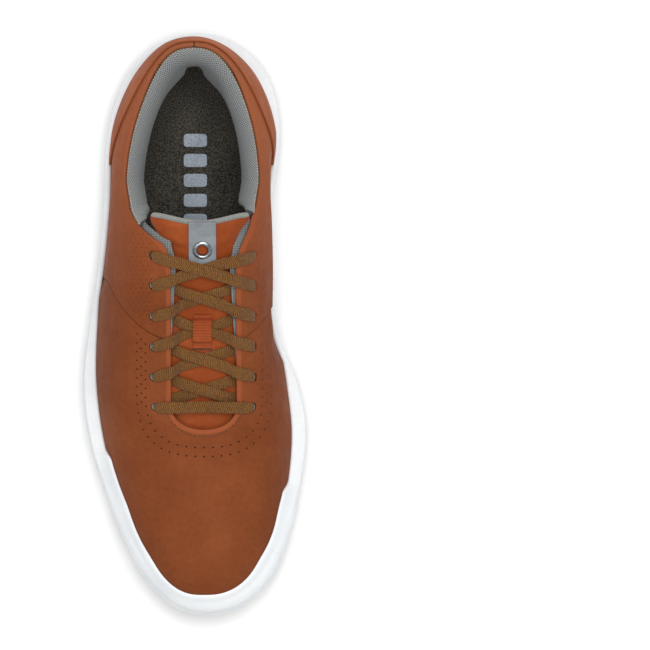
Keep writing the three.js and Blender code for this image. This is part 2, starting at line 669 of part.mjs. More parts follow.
function ribbon(stops) {
  const path = new THREE.CatmullRomCurve3(stops.map((stop) => stop.point), false, 'centripetal');
  const sections = [];
  const last = stops.length - 1;
  for (let i = 0; i <= last; i++) {
    const fine = i > 0 && i < last && stops[i].point.distanceTo(stops[i + 1].point) > 30;
    for (const part of fine ? [0, 0.5] : [0]) {
      const t = Math.min((i + part) / last, 1);
      const along = path.getTangent(t);
      const next = stops[Math.min(i + 1, last)];
      const width = mix(stops[i].width, next.width, part);
      const hint = stops[i].across.clone().lerp(next.across, part).normalize();
      const across = hint.addScaledVector(along, -hint.dot(along)).normalize();
      const face = along.clone().cross(across);
      const corner = (a, b) => path.getPoint(t)
        .addScaledVector(across, a * width / 2).addScaledVector(face, b * LACE_THICK / 2);
      sections.push([corner(1, 1), corner(-1, 1), corner(-1, -1), corner(1, -1)]);
    }
  }
  return solid(new LoftGeometry(sections, { closed: true, capStart: true, capEnd: true }));
}
const laceStops = laceBody();
parts.set('lace', ribbon(laceStops));

function aglet(tip, before) {
  const along = tip.clone().sub(before).normalize();
  const geometry = new THREE.CylinderGeometry(AGLET_RADIUS, AGLET_RADIUS, AGLET_LENGTH, 8);
  geometry.applyQuaternion(new THREE.Quaternion().setFromUnitVectors(new THREE.Vector3(0, 1, 0), along));
  const middle = tip.clone().addScaledVector(along, AGLET_LENGTH / 2 + GAP);
  geometry.translate(middle.x, middle.y, middle.z + 0.6);
  return solid(geometry);
}
parts.set('aglet_a', aglet(laceStops[0].point, laceStops[1].point));
parts.set('aglet_b', aglet(laceStops[laceStops.length - 1].point, laceStops[laceStops.length - 2].point));

// ---- The group ----

const COLOURS = {
  midsole_cup: 0xeeeeea, outsole: 0xe4e2dc, midsole_filler: 0xd8d8d4, shank_plate: 0x303030,
  strobel_board: 0xcfc6b4, insole_foam: 0x7a7a78, insole_cover: 0x34322c, vamp: 0x84492b,
  quarter_lateral: 0x7a4327, quarter_medial: 0x9a5636, heel_foxing: 0x8d4e31, vamp_lining: 0x8e8e8c,
  eyestay_stiffener_lateral: 0xc8bfae, eyestay_stiffener_medial: 0xc8bfae, toe_puff: 0xc8bfae,
  heel_counter: 0xc8bfae, collar_lining: 0x8e8e8c, collar_foam: 0xd9cf9c, tongue_leather: 0xbe5519,
  tongue_foam: 0xd9cf9c, tongue_lining: 0x8e8e8c, tongue_top_leather: 0xbe5519,
  tongue_top_foam: 0xd9cf9c, tongue_top_lining: 0x8e8e8c, tongue_tab: 0x7d8287,
  tab_eyelet: 0xb8bcc0, lace_keeper: 0x8a5a2c, lace: 0x78582d, aglet_a: 0x6a4a28, aglet_b: 0x6a4a28,
};

const FINISH = 0.12;   // flat facets are joined up to this far out of true
const group = new THREE.Group();
group.name = 'golf_shoe';
for (const [name, body] of parts) {
  const surface = body.simplify(FINISH).getMesh();
  const geometry = new THREE.BufferGeometry();
  geometry.setAttribute('position', new THREE.BufferAttribute(surface.vertProperties, 3));
  geometry.setIndex(new THREE.BufferAttribute(surface.triVerts, 1));
  geometry.computeVertexNormals();
  const mesh = new THREE.Mesh(geometry, new THREE.MeshStandardMaterial({ color: COLOURS[name] }));
  mesh.name = name;
  group.add(mesh);
}
export default group;
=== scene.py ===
# Looks of a right golf shoe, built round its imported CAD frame.
# Sizes are in millimetres in the shoe's own frame (+X inner side, +Y heel, +Z up) until a mesh is made.
import math

import bpy
import numpy as np
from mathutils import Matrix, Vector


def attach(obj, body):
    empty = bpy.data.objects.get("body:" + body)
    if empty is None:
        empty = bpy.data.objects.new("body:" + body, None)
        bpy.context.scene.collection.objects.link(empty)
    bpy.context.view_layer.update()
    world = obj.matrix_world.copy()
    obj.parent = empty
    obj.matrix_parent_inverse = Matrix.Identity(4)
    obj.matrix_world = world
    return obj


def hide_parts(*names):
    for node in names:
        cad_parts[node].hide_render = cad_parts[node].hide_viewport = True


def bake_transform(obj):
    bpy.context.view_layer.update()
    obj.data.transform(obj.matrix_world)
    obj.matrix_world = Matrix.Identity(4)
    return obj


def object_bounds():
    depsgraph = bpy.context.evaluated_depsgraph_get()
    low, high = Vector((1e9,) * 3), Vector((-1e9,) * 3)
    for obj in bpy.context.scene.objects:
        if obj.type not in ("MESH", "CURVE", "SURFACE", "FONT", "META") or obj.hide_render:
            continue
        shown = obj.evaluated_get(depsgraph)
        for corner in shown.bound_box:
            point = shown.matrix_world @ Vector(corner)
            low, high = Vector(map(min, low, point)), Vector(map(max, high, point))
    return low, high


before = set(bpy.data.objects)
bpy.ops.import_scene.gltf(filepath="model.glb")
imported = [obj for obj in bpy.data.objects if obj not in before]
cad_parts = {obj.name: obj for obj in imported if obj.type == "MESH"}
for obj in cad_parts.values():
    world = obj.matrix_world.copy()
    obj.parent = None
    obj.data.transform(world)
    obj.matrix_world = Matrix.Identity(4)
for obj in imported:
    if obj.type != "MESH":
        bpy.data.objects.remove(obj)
CAD_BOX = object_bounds()
MM = 0.001

# ---- Driving dimensions, as in the CAD source ----

SOLE_OUTLINE = [
    (2, 150), (-18, 145), (-33, 131), (-42, 112), (-46, 90), (-47, 62), (-50, 30),
    (-54, 4), (-57.5, -30), (-54.5, -58), (-47, -84), (-38, -108), (-26, -131), (-10, -146),
    (6, -150), (24, -146), (39, -133), (48, -112), (54, -86), (57.5, -54), (53, -30),
    (43.5, -6), (40, 30), (40, 64), (44, 94), (42, 116), (34, 134), (20, 145.5),
]
UPPER_OUTLINE = [
    (0, 147), (-15, 143.5), (-28, 131), (-38, 112), (-43, 92), (-45.5, 64), (-47.5, 36),
    (-50, 4), (-51, -28), (-47.5, -58), (-41, -84), (-33, -108), (-21.5, -129), (-8, -140.5),
    (5, -143.5), (20, -140), (34, -128), (43.5, -108), (48, -84), (50, -56), (47.5, -32),
    (44, -8), (43, 30), (42.5, 64), (41.5, 94), (37, 114), (28, 131), (14, 143),
]
RIM_TOP = [(-150, 38), (-125, 35), (-100, 29), (-82, 25), (-50, 24), (0, 26), (60, 28), (110, 31), (150, 32)]
STACK = [(-150, 16.3), (-50, 16.3), (0, 18.5), (60, 21.5), (150, 22)]
CROWN = [
    (-143.5, 30), (-120, 34), (-100, 39), (-75, 46), (-50, 54), (0, 70), (35, 82),
    (50, 80), (70, 73), (100, 73), (125, 74), (147, 72),
]
COLLAR_TOP = [(42, 99), (45, 96), (52, 88), (60, 79), (75, 71.5), (95, 74), (120, 79), (141, 80.5), (150, 81)]
RIDGE_X = [(-143.5, 5), (-100, 5.2), (-50, 5.2), (0, 5), (30, 4), (60, 2), (100, 0), (147, 0)]
FOXING_TOP = [(80, 32), (95, 50), (115, 66), (135, 73), (150, 73.5)]
SIDE_POWER = 2.8
TOP_POWER = 2.1

COLLAR_FRONT_Y = 42
OPENING_X, OPENING_Y = 1.0, 92.0
INSOLE_THICK = 5.4
THROAT_X = 5
THROAT_HALF = 17.1
THROAT_BOTTOM = -54.4
EYELET_ROWS = [35.1, 19.2, 3.6, -11.8, -27.3, -42.6]
EYELET_OUT = [26.3, 26.3, 26.2, 26.1, 25.9, 25.2]
EYELET_HOLE = 2.3
VAMP_SEAM = [
    (-75, 50), (-45.4, 22.6), (-36, 7.2), (-25.6, -2.6), (-14.9, -7.7), (5, -8.2),
    (23.8, -8.2), (27.9, -5.7), (34.1, 0), (43.9, 14.4), (75, 48),
]
LEATHER = 1.4
TONGUE = (5.7, 10.7)
LACE_WIDTH = 6.2
LACE_THICK = 1.1
FLAP_ROOT_Y = 31.8
FLAP_LENGTH = 26
FLAP_ROOT_HALF = 16
FLAP_TOP_HALF = 22.5
FLAP_TOP_X = 3.2
FLAP_SLOPE = (0.28, 0.82)      # radians, at the root and at the top edge
EYELET_X = 4.4
EYELET_S = 5.8                 # along the tongue from the flap's root
KEEPER_X = 4.2
KEEPER_HALF = 4.9

# ---- Small mathematics ----


def mix(a, b, t):
    return a + (b - a) * t


def smooth(low, high, value):
    t = np.clip((value - low) / (high - low), 0, 1)
    return t * t * (3 - 2 * t)


def circle(count):
    """Angles evenly spaced round a full turn."""
    return np.linspace(0, 2 * np.pi, count, endpoint=False)


def squared(value, power):
    """A sine or cosine pushed towards its limits, so that a circle becomes a rounded rectangle."""
    return np.sign(value) * np.abs(value) ** power


def bisected(low, high, steps, is_low):
    """Where is_low stops being true, between arrays of low and high values."""
    for _ in range(steps):
        middle = (low + high) / 2
        passed = is_low(middle)
        low = np.where(passed, middle, low)
        high = np.where(passed, high, middle)
    return low


def unit(vectors):
    return vectors / np.maximum(np.linalg.norm(vectors, axis=-1, keepdims=True), 1e-12)


def curve(knots):
    """A smooth function through (position, value) knots that never overshoots them."""
    x = np.array([k[0] for k in knots], float)
    v = np.array([k[1] for k in knots], float)
    slope = np.diff(v) / np.diff(x)
    tangent = np.zeros(len(x))
    tangent[0] = slope[0]
    tangent[-1] = slope[-1]
    for i in range(1, len(x) - 1):
        if slope[i - 1] * slope[i] > 0:
            tangent[i] = 2 * slope[i - 1] * slope[i] / (slope[i - 1] + slope[i])

    def at(q):
        q = np.clip(np.asarray(q, float), x[0], x[-1])
        i = np.clip(np.searchsorted(x, q, side="right") - 1, 0, len(x) - 2)
        h = x[i + 1] - x[i]
        t = (q - x[i]) / h
        start = (2 * t**3 - 3 * t**2 + 1) * v[i] + (t**3 - 2 * t**2 + t) * h * tangent[i]
        return start + (3 * t**2 - 2 * t**3) * v[i + 1] + (t**3 - t**2) * h * tangent[i + 1]

    return at


def spline(points, steps, closed=False):
    """A centripetal Catmull-Rom line; steps is the number of samples in each span, or one number."""
    p = np.array(points, float)
    n = len(p)
    spans = n if closed else n - 1
    if closed:
        ends = [p[(i + k) % n] for i in range(spans) for k in (-1, 0, 1, 2)]
    else:
        full = np.vstack([2 * p[0] - p[1], p, 2 * p[-1] - p[-2]])
        ends = [full[i + k] for i in range(spans) for k in range(4)]
    counts = [steps] * spans if np.isscalar(steps) else steps
    line = []
    for i in range(spans):
        a, b, c, d = ends[4 * i : 4 * i + 4]
        t1 = np.linalg.norm(b - a) ** 0.5
        t2 = t1 + np.linalg.norm(c - b) ** 0.5
        t3 = t2 + np.linalg.norm(d - c) ** 0.5
        t = mix(t1, t2, np.arange(counts[i]) / counts[i])[:, None]
        ab = (t1 - t) / t1 * a + t / t1 * b
        bc = (t2 - t) / (t2 - t1) * b + (t - t1) / (t2 - t1) * c
        cd = (t3 - t) / (t3 - t2) * c + (t - t2) / (t3 - t2) * d
        abc = (t2 - t) / t2 * ab + t / t2 * bc
        bcd = (t3 - t) / (t3 - t1) * bc + (t - t1) / (t3 - t1) * cd
        line.append((t2 - t) / (t2 - t1) * abc + (t - t1) / (t2 - t1) * bcd)
    if not closed:
        line.append(p[-1:])
    return np.vstack(line)


def length_along(line):
    steps = np.linalg.norm(np.diff(line, axis=0), axis=1)
    return np.concatenate([[0], np.cumsum(steps)])


def spaced(line, gap):
    """Points on a line about one gap apart."""
    along = length_along(line)
    places = np.linspace(0, along[-1], max(2, round(along[-1] / gap) + 1))
    return np.stack([np.interp(places, along, line[:, k]) for k in range(line.shape[1])], axis=1)


class Outline:
    """A closed outline in plan, running from the heel down the outer side, with its edges at any y."""

    def __init__(self, points):
        self.loop = spline(points, 30, closed=True)
        turned = np.roll(self.loop, -int(np.argmax(self.loop[:, 1])), axis=0)
        toe = int(np.argmin(turned[:, 1]))
        self.outer = turned[: toe + 1][::-1]
        self.inner = np.vstack([turned[toe:], turned[:1]])
        self.toe_x, self.toe_y = turned[toe]
        self.heel_y = turned[0, 1]

    def left(self, y):
        return np.interp(y, self.outer[:, 1], self.outer[:, 0])

    def right(self, y):
        return np.interp(y, self.inner[:, 1], self.inner[:, 0])

    def inwards(self):
        """Unit vectors pointing inwards at each point of the loop."""
        along = unit(np.roll(self.loop, -1, axis=0) - np.roll(self.loop, 1, axis=0))
        return np.stack([-along[:, 1], along[:, 0]], axis=1)


def polygon_distance(x, y, polygon):
    """The distance to a polygon's edge, negative inside it."""
    shape = np.shape(x)
    px = np.ravel(x)
    py = np.ravel(y)
    best = np.full(px.shape, 1e9)
    odd = np.zeros(px.shape, bool)
    points = np.array(polygon, float)
    for (ax, ay), (bx, by) in zip(points, np.roll(points, -1, axis=0)):
        dx, dy = bx - ax, by - ay
        t = np.clip(((px - ax) * dx + (py - ay) * dy) / (dx * dx + dy * dy + 1e-12), 0, 1)
        best = np.minimum(best, np.hypot(px - ax - t * dx, py - ay - t * dy))
        if dy:
            crosses = ((ay > py) != (by > py)) & (px < dx * (py - ay) / dy + ax)
            odd ^= crosses
    return np.where(odd, -best, best).reshape(shape)


# ---- The shape of the foot, as in the CAD source ----

sole = Outline(SOLE_OUTLINE)
upper = Outline(UPPER_OUTLINE)
rim_top = curve(RIM_TOP)
stack = curve(STACK)
crown = curve(CROWN)
collar_top = curve(COLLAR_TOP)
ridge = curve(RIDGE_X)
foxing_top = curve(FOXING_TOP)


def ground(y):
    toe = np.maximum(0, (-80 - y) / 70)
    heel = np.maximum(0, (y - 125) / 25)
    return 12 * toe**2 + 3 * heel**2


def footbed(y):
    return ground(y) + stack(y)


def closing(y):
    toe = np.clip((-95 - y) / (-95 - upper.toe_y), 0, 1)
    heel = np.clip((y - 105) / (upper.heel_y - 105), 0, 1)
    return (1 - toe**2.8) ** (1 / 2.2) * (1 - heel**9) ** (1 / 2.2)


def pulled_in(y, inner_side, rise):
    """How far the bottom of the upper is pulled in where the sole is narrower than it is."""
    over_sole = np.where(inner_side, upper.right(y) - sole.right(y), sole.left(y) - upper.left(y))
    return np.maximum(0, over_sole + 3.2) * (1 - smooth(11, 38, rise))


def ridge_line(y):
    near_toe = mix(upper.toe_x, ridge(y), np.clip((y - upper.toe_y) / 12, 0, 1))
    return np.where(np.abs(y - upper.toe_y) < 12, near_toe, ridge(y))


def half_width(y, inner_side):
    middle = ridge_line(y)
    return np.maximum(np.where(inner_side, upper.right(y) - middle, middle - upper.left(y)), 0)


def surface(y, angle):
    """A point on the outside of the upper; the angle runs from -90 (outer side) to 90 degrees."""
    y, angle = np.broadcast_arrays(y, angle)
    inner_side = angle >= 0
    across = np.abs(np.sin(angle)) ** (2 / SIDE_POWER)
    rise = crown(y) * closing(y) * np.abs(np.cos(angle)) ** (2 / TOP_POWER)
    width = half_width(y, inner_side) - pulled_in(y, inner_side, rise)
    x = ridge_line(y) + np.where(inner_side, 1, -1) * width * across
    return np.stack([x, y, footbed(y) + rise], axis=-1)


def station_y(v):
    return mix(upper.toe_y, upper.heel_y, (1 - np.cos(np.pi * v)) / 2)


def outward(v, angle):
    """The outward normal, taken over a small patch of the surface."""
    v, angle = np.broadcast_arrays(v, angle)

    def at(dv, da):
        return surface(station_y(np.clip(v + dv, 0.002, 0.998)), np.clip(angle + da, -1.5707, 1.5707))

    along = at(0.004, 0) - at(-0.004, 0)
    around = at(0, 0.03) - at(0, -0.03)
    return unit(np.cross(around, along))


def over(x, y, depth):
    """The point at a depth below the surface over a place in plan, on the crown."""
    x, y, depth = (np.asarray(a, float) for a in (x, y, depth))
    x, y, depth = np.broadcast_arrays(x, y, depth)
    inner_side = x >= ridge(y)
    width = np.where(inner_side, upper.right(y) - ridge(y), ridge(y) - upper.left(y))
    ratio = np.clip(np.abs(x - ridge(y)) / width, 0, 0.999)
    v = np.arccos(1 - 2 * (y - upper.toe_y) / (upper.heel_y - upper.toe_y)) / np.pi
    angle = np.where(inner_side, 1, -1) * np.arcsin(ratio ** (SIDE_POWER / 2))
    return surface(station_y(v), angle) - outward(v, angle) * depth[..., None]


def outside(x, y, z):
    """How far a point lies outside the upper, measured across the shoe; negative inside it."""
    inner_side = x >= ridge_line(y)
    rise = np.maximum(z - footbed(y), 0)
    share = np.clip(rise / np.maximum(crown(y) * closing(y), 1e-6), 0, 1)
    across = (1 - share**TOP_POWER) ** (1 / SIDE_POWER)
    width = (half_width(y, inner_side) - pulled_in(y, inner_side, rise)) * across
    return np.abs(x - ridge_line(y)) - width


# ---- Materials ----


class Look:
    """A material being made: a Principled shader and the nodes that drive it."""

    def __init__(self, name, roughness=0.6, specular=0.5, sheen=0.0, metallic=0.0):
        self.material = bpy.data.materials.new(name)
        self.material.use_nodes = True
        self.tree = self.material.node_tree
        self.tree.nodes.clear()
        output = self.tree.nodes.new("ShaderNodeOutputMaterial")
        self.shader = self.tree.nodes.new("ShaderNodeBsdfPrincipled")
        self.tree.links.new(self.shader.outputs["BSDF"], output.inputs["Surface"])
        values = {"Roughness": roughness, "Specular IOR Level": specular, "Metallic": metallic,
                  "Sheen Weight": sheen, "Sheen Roughness": 0.5}
        for socket, value in values.items():
            self.shader.inputs[socket].default_value = value
        self.place = self.tree.nodes.new("ShaderNodeTexCoord").outputs["Object"]

    def node(self, kind, **values):
        made = self.tree.nodes.new(kind)
        for key, value in values.items():
            setattr(made, key, value)
        return made

    def put(self, socket, value):
        if isinstance(value, bpy.types.NodeSocket):
            self.tree.links.new(value, socket)
        else:
            socket.default_value = value

    def noise(self, size_mm, detail=3.0, roughness=0.5):
        made = self.node("ShaderNodeTexNoise")
        self.put(made.inputs["Vector"], self.place)
        made.inputs["Scale"].default_value = 1 / (size_mm * MM)
        made.inputs["Detail"].default_value = detail
        made.inputs["Roughness"].default_value = roughness
        return made.outputs["Fac"]

    def cells(self, size_mm):
        made = self.node("ShaderNodeTexVoronoi", feature="F1")
        self.put(made.inputs["Vector"], self.place)
        made.inputs["Scale"].default_value = 1 / (size_mm * MM)
        made.inputs["Randomness"].default_value = 1.0
        return made.outputs["Distance"]

    def math(self, operation, a, b=0.0):
        made = self.node("ShaderNodeMath", operation=operation)
        self.put(made.inputs[0], a)
        self.put(made.inputs[1], b)
        return made.outputs["Value"]

    def times(self, a, b):
        return self.math("MULTIPLY", a, b)

    def plus(self, a, b):
        return self.math("ADD", a, b)

    def wave(self, value, pitch):
        return self.math("SINE", self.times(value, 2 * math.pi / pitch))

    def ramp(self, value, stops):
        """A colour, or a number where the stops are numbers, from a value between 0 and 1."""
        made = self.node("ShaderNodeValToRGB")
        elements = made.color_ramp.elements
        while len(elements) < len(stops):
            elements.new(0.5)
        for element, (position, colour) in zip(elements, stops):
            element.position = position
            level = (colour,) * 3 if np.isscalar(colour) else colour
            element.color = (*level, 1)
        self.put(made.inputs["Fac"], value)
        return made.outputs["Color"]

    def blend(self, share, first, second, mode="MIX"):
        made = self.node("ShaderNodeMix", data_type="RGBA", blend_type=mode)
        self.put(made.inputs[0], share)
        self.put(made.inputs[6], first if isinstance(first, bpy.types.NodeSocket) else (*first, 1))
        self.put(made.inputs[7], second if isinstance(second, bpy.types.NodeSocket) else (*second, 1))
        return made.outputs[2]

    def attribute(self, name):
        return self.node("ShaderNodeAttribute", attribute_name=name).outputs["Fac"]

    def split(self, source):
        made = self.node("ShaderNodeSeparateXYZ")
        self.put(made.inputs[0], source)
        return made.outputs

    def cloth(self):
        """The two distances over the cloth, in millimetres, that make() was given."""
        return self.split(self.node("ShaderNodeUVMap", uv_map="weave").outputs["UV"])[:2]

    def bump(self, height_value, distance_mm, strength=1.0, under=None):
        made = self.node("ShaderNodeBump")
        made.inputs["Strength"].default_value = strength
        made.inputs["Distance"].default_value = distance_mm * MM
        self.put(made.inputs["Height"], height_value)
        if under is not None:
            self.put(made.inputs["Normal"], under)
        return made.outputs["Normal"]

    def finish(self, colour, roughness=None, normal=None):
        for socket, value in (("Base Color", colour), ("Roughness", roughness), ("Normal", normal)):
            if value is not None:
                self.put(self.shader.inputs[socket], value)
        return self.material


def srgb(red, green, blue):
    """A colour given as it looks on screen, from 0 to 255, in linear light."""
    levels = np.array([red, green, blue]) / 255
    return tuple(np.where(levels <= 0.04045, levels / 12.92, ((levels + 0.055) / 1.055) ** 2.4).tolist())


def leather(name, base, dark, light, towards_heel=None, shine=0.58):
    """Smooth, fine-grained leather: soft patches of tone, pores and tiny creases."""
    look = Look(name, roughness=shine, specular=0.04)
    patches = look.ramp(look.noise(34, 2.5), [(0.3, dark), (0.52, base), (0.75, light)])
    if towards_heel is not None:
        share = look.ramp(look.times(look.split(look.place)[1], 8.0), [(0.05, 0.0), (0.85, 1.0)])
        patches = look.blend(share, patches, towards_heel)
    mottled = look.ramp(look.noise(2.6, 4, 0.6), [(0.3, 0.86), (0.6, 1.0), (0.8, 1.06)])
    colour = look.blend(0.9, patches, mottled, "MULTIPLY")
    skived = look.ramp(look.math("DIVIDE", look.attribute("rim"), 10), [(0.17, 1.0), (0.24, 0.0)])
    colour = look.blend(skived, colour, srgb(146, 77, 46))
    pebble = look.ramp(look.cells(0.85), [(0.0, 0.0), (0.25, 0.8), (0.7, 1.0)])
    normal = look.bump(look.noise(9, 3), 0.5, 0.35)
    normal = look.bump(pebble, 0.07, 0.32, normal)
    normal = look.bump(look.noise(0.45, 2), 0.05, 0.3, normal)
    gloss = look.ramp(look.noise(7, 3), [(0.3, shine - 0.06), (0.7, shine + 0.1)])
    return look.finish(colour, gloss, normal)


def raw_edge(name, colour):
    """The cut edge of leather, rough and fibrous; in dark brown it is also the painted shade in the vamp's
    seam.
    """
    look = Look(name, roughness=0.75, specular=0.2)
    fibres = look.ramp(look.noise(0.6, 4), [(0.3, 0.75), (0.7, 1.12)])
    tone = look.blend(1.0, colour, fibres, "MULTIPLY")
    return look.finish(tone, normal=look.bump(look.noise(0.4, 3), 0.12, 0.5))


def knit(name, light, dark, pitch=1.25, inner=None):
    """Spacer mesh: rows of small dark openings between raised threads, laid out along the piece."""
    look = Look(name, roughness=0.85, specular=0.15, sheen=0.25)
    u, v = look.cloth()
    level = look.plus(look.times(look.times(look.wave(u, pitch), look.wave(v, pitch)), 0.5), 0.5)
    broken = look.plus(level, look.times(look.math("SUBTRACT", look.noise(0.5, 2), 0.5), 0.5))
    middle = tuple(mix(np.array(dark), np.array(light), 0.62).tolist())
    colour = look.ramp(broken, [(0.1, dark), (0.36, middle), (0.85, light)])
    # Painted shade: where inner is given, the knit darkens towards it further across the piece, for the shade
    # inside the collar's opening.
    if inner is not None:
        depth = look.ramp(look.math("DIVIDE", v, 24), [(0.3, 0.0), (0.72, 1.0)])
        colour = look.blend(look.times(depth, 0.72), colour, inner)
    return look.finish(colour, normal=look.bump(broken, 0.4, 0.8))


def speckled(name, dark, light, size=0.7):
    """Dense dark cloth with paler flecks; it also makes the painted shade inside punched holes."""
    look = Look(name, roughness=0.95, specular=0.12, sheen=0.15)
    flecks = look.ramp(look.noise(size, 2, 0.7), [(0.42, dark), (0.62, light)])
    broad = look.ramp(look.noise(14, 2), [(0.3, 0.8), (0.7, 1.1)])
    colour = look.blend(0.8, flecks, broad, "MULTIPLY")
    return look.finish(colour, normal=look.bump(look.noise(size * 0.7, 2), 0.16, 0.6))


def woven_lace(name, base, dark, light):
    """A flat braid: slanting stitches that meet in the middle of the lace."""
    look = Look(name, roughness=0.8, specular=0.15, sheen=0.08)
    across, along = look.cloth()
    slant = look.plus(along, look.times(look.math("ABSOLUTE", across), 0.8))
    level = look.plus(look.times(look.times(look.wave(slant, 0.95), look.wave(across, 0.9)), 0.4), 0.5)
    level = look.plus(level, look.times(look.math("SUBTRACT", look.noise(0.8, 3), 0.5), 0.7))
    colour = look.ramp(level, [(0.12, dark), (0.5, base), (0.92, light)])
    patches = look.ramp(look.noise(12, 2), [(0.3, 0.86), (0.7, 1.1)])
    colour = look.blend(0.8, colour, patches, "MULTIPLY")
    return look.finish(colour, normal=look.bump(level, 0.3, 0.75))


def rubber(name, base, shade, roughness=0.5):
    """Moulded rubber with a faint bloom and fine moulding texture."""
    look = Look(name, roughness=roughness, specular=0.4)
    colour = look.ramp(look.noise(40, 3), [(0.3, shade), (0.6, base)])
    scuffs = look.ramp(look.noise(3, 5, 0.65), [(0.35, 0.95), (0.6, 1.0)])
    colour = look.blend(0.7, colour, scuffs, "MULTIPLY")
    gloss = look.ramp(look.noise(9, 3), [(0.3, roughness - 0.08), (0.7, roughness + 0.12)])
    return look.finish(colour, gloss, look.bump(look.noise(0.5, 2), 0.05, 0.25))


def foam(name, base, dark):
    """Open-cell foam."""
    look = Look(name, roughness=0.95, specular=0.1)
    cells = look.cells(1.1)
    colour = look.ramp(cells, [(0.1, dark), (0.5, base)])
    return look.finish(colour, normal=look.bump(cells, 0.4, 0.7))


def grained(name, base, dark, grain, relief, spread=0.2, **shader):
    """One texture from dark to base, with a finer one as its relief."""
    look = Look(name, **shader)
    colour = look.ramp(look.noise(*grain), [(0.5 - spread, dark), (0.5 + spread, base)])
    size, detail, depth, strength = relief
    return look.finish(colour, normal=look.bump(look.noise(size, detail), depth, strength))


def strap(name, base, dark):
    return grained(name, base, dark, (5, 4), (0.5, 2, 0.06, 0.35), roughness=0.5, specular=0.35)


def thread(name, base, dark):
    return grained(name, base, dark, (0.5, 2), (0.25, 2, 0.08, 0.5), 0.15,
                   roughness=0.8, specular=0.2, sheen=0.2)


def metal(name, base, dark):
    """Polished metal with fine turning marks."""
    look = Look(name, roughness=0.2, metallic=1.0)
    colour = look.ramp(look.noise(2.2, 3), [(0.3, dark), (0.7, base)])
    gloss = look.ramp(look.noise(0.7, 3), [(0.3, 0.14), (0.7, 0.3)])
    return look.finish(colour, gloss, look.bump(look.noise(0.35, 2), 0.02, 0.2))


VAMP_LEATHER = leather("vamp_leather", srgb(126, 67, 37), srgb(118, 61, 33), srgb(136, 75, 43))
QUARTER_LEATHER = leather(
    "quarter_leather", srgb(125, 66, 36), srgb(117, 60, 32), srgb(135, 74, 42), srgb(158, 86, 50)
)
FOXING_LEATHER = leather("foxing_leather", srgb(162, 88, 50), srgb(148, 78, 42), srgb(176, 100, 60))
TONGUE_LEATHER = leather(
    "tongue_leather", srgb(146, 70, 34), srgb(130, 59, 27), srgb(162, 83, 45), shine=0.45
)
EDGE_LEATHER = raw_edge("leather_edge", srgb(140, 78, 48))
# Painted shade: dark brown for the shade in the gap of the vamp's seam.
SEAM_SHADOW = raw_edge("seam_shadow", srgb(78, 42, 26))
FLESH_SIDE = raw_edge("leather_back", srgb(150, 104, 78))
GREY_KNIT = knit("grey_knit", srgb(142, 145, 144), srgb(28, 30, 32))
# The inner colour of the collar knit is painted shade inside the opening.
COLLAR_KNIT = knit("collar_knit", srgb(154, 157, 156), srgb(22, 24, 26), inner=srgb(60, 62, 65))
RIM_KNIT = knit("rim_knit", srgb(166, 166, 160), srgb(56, 58, 58), pitch=1.1)
INSOLE_CLOTH = speckled("insole_cloth", srgb(36, 34, 30), srgb(84, 80, 72))
PRINT_INK = speckled("insole_print", srgb(140, 148, 160), srgb(176, 184, 194), size=0.6)
LACE_WEAVE = woven_lace("lace_weave", srgb(104, 66, 29), srgb(46, 26, 10), srgb(156, 112, 62))
AGLET_FILM = strap("aglet_film", srgb(116, 84, 48), srgb(88, 62, 34))
RIM_RUBBER = rubber("rim_rubber", srgb(238, 241, 243), srgb(226, 231, 234))
TREAD_RUBBER = rubber("tread_rubber", srgb(226, 226, 222), srgb(206, 206, 202), 0.62)
STRAP_GREY = strap("strap_grey", srgb(136, 141, 146), srgb(118, 123, 128))
STRAP_BROWN = leather("strap_brown", srgb(146, 70, 38), srgb(128, 58, 30), srgb(160, 84, 48), shine=0.55)
EYELET_METAL = metal("eyelet_metal", srgb(176, 178, 182), srgb(128, 132, 138))
# Painted shade: the dark colour of each perforation's centre disc, for the shade inside the hole.
PAINTED_HOLE_SHADE = speckled("hole_painted_shade", srgb(24, 14, 10), srgb(48, 28, 20), size=0.3)
BROWN_THREAD = thread("brown_thread", srgb(120, 70, 44), srgb(70, 38, 24))
PALE_THREAD = thread("pale_thread", srgb(214, 200, 180), srgb(150, 132, 112))
DARK_TAPE = thread("dark_tape", srgb(70, 70, 68), srgb(36, 36, 36))
GREY_FOAM = foam("grey_foam", srgb(122, 122, 120), srgb(84, 84, 82))
WHITE_FOAM = foam("white_foam", srgb(216, 216, 212), srgb(180, 180, 176))
FIBRE_BOARD = grained("fibre_board", srgb(206, 198, 178), srgb(170, 160, 140), (1.6, 5, 0.7),
                      (0.9, 4, 0.15, 0.5), 0.15, roughness=0.9, specular=0.15)
SHANK_PLASTIC = rubber("shank_plastic", srgb(48, 48, 50), srgb(34, 34, 36), 0.45)

# ---- Mesh making ----


def placed(name, data, location):
    thing = bpy.data.objects.new(name, data)
    thing.location = location
    bpy.context.scene.collection.objects.link(thing)
    return thing


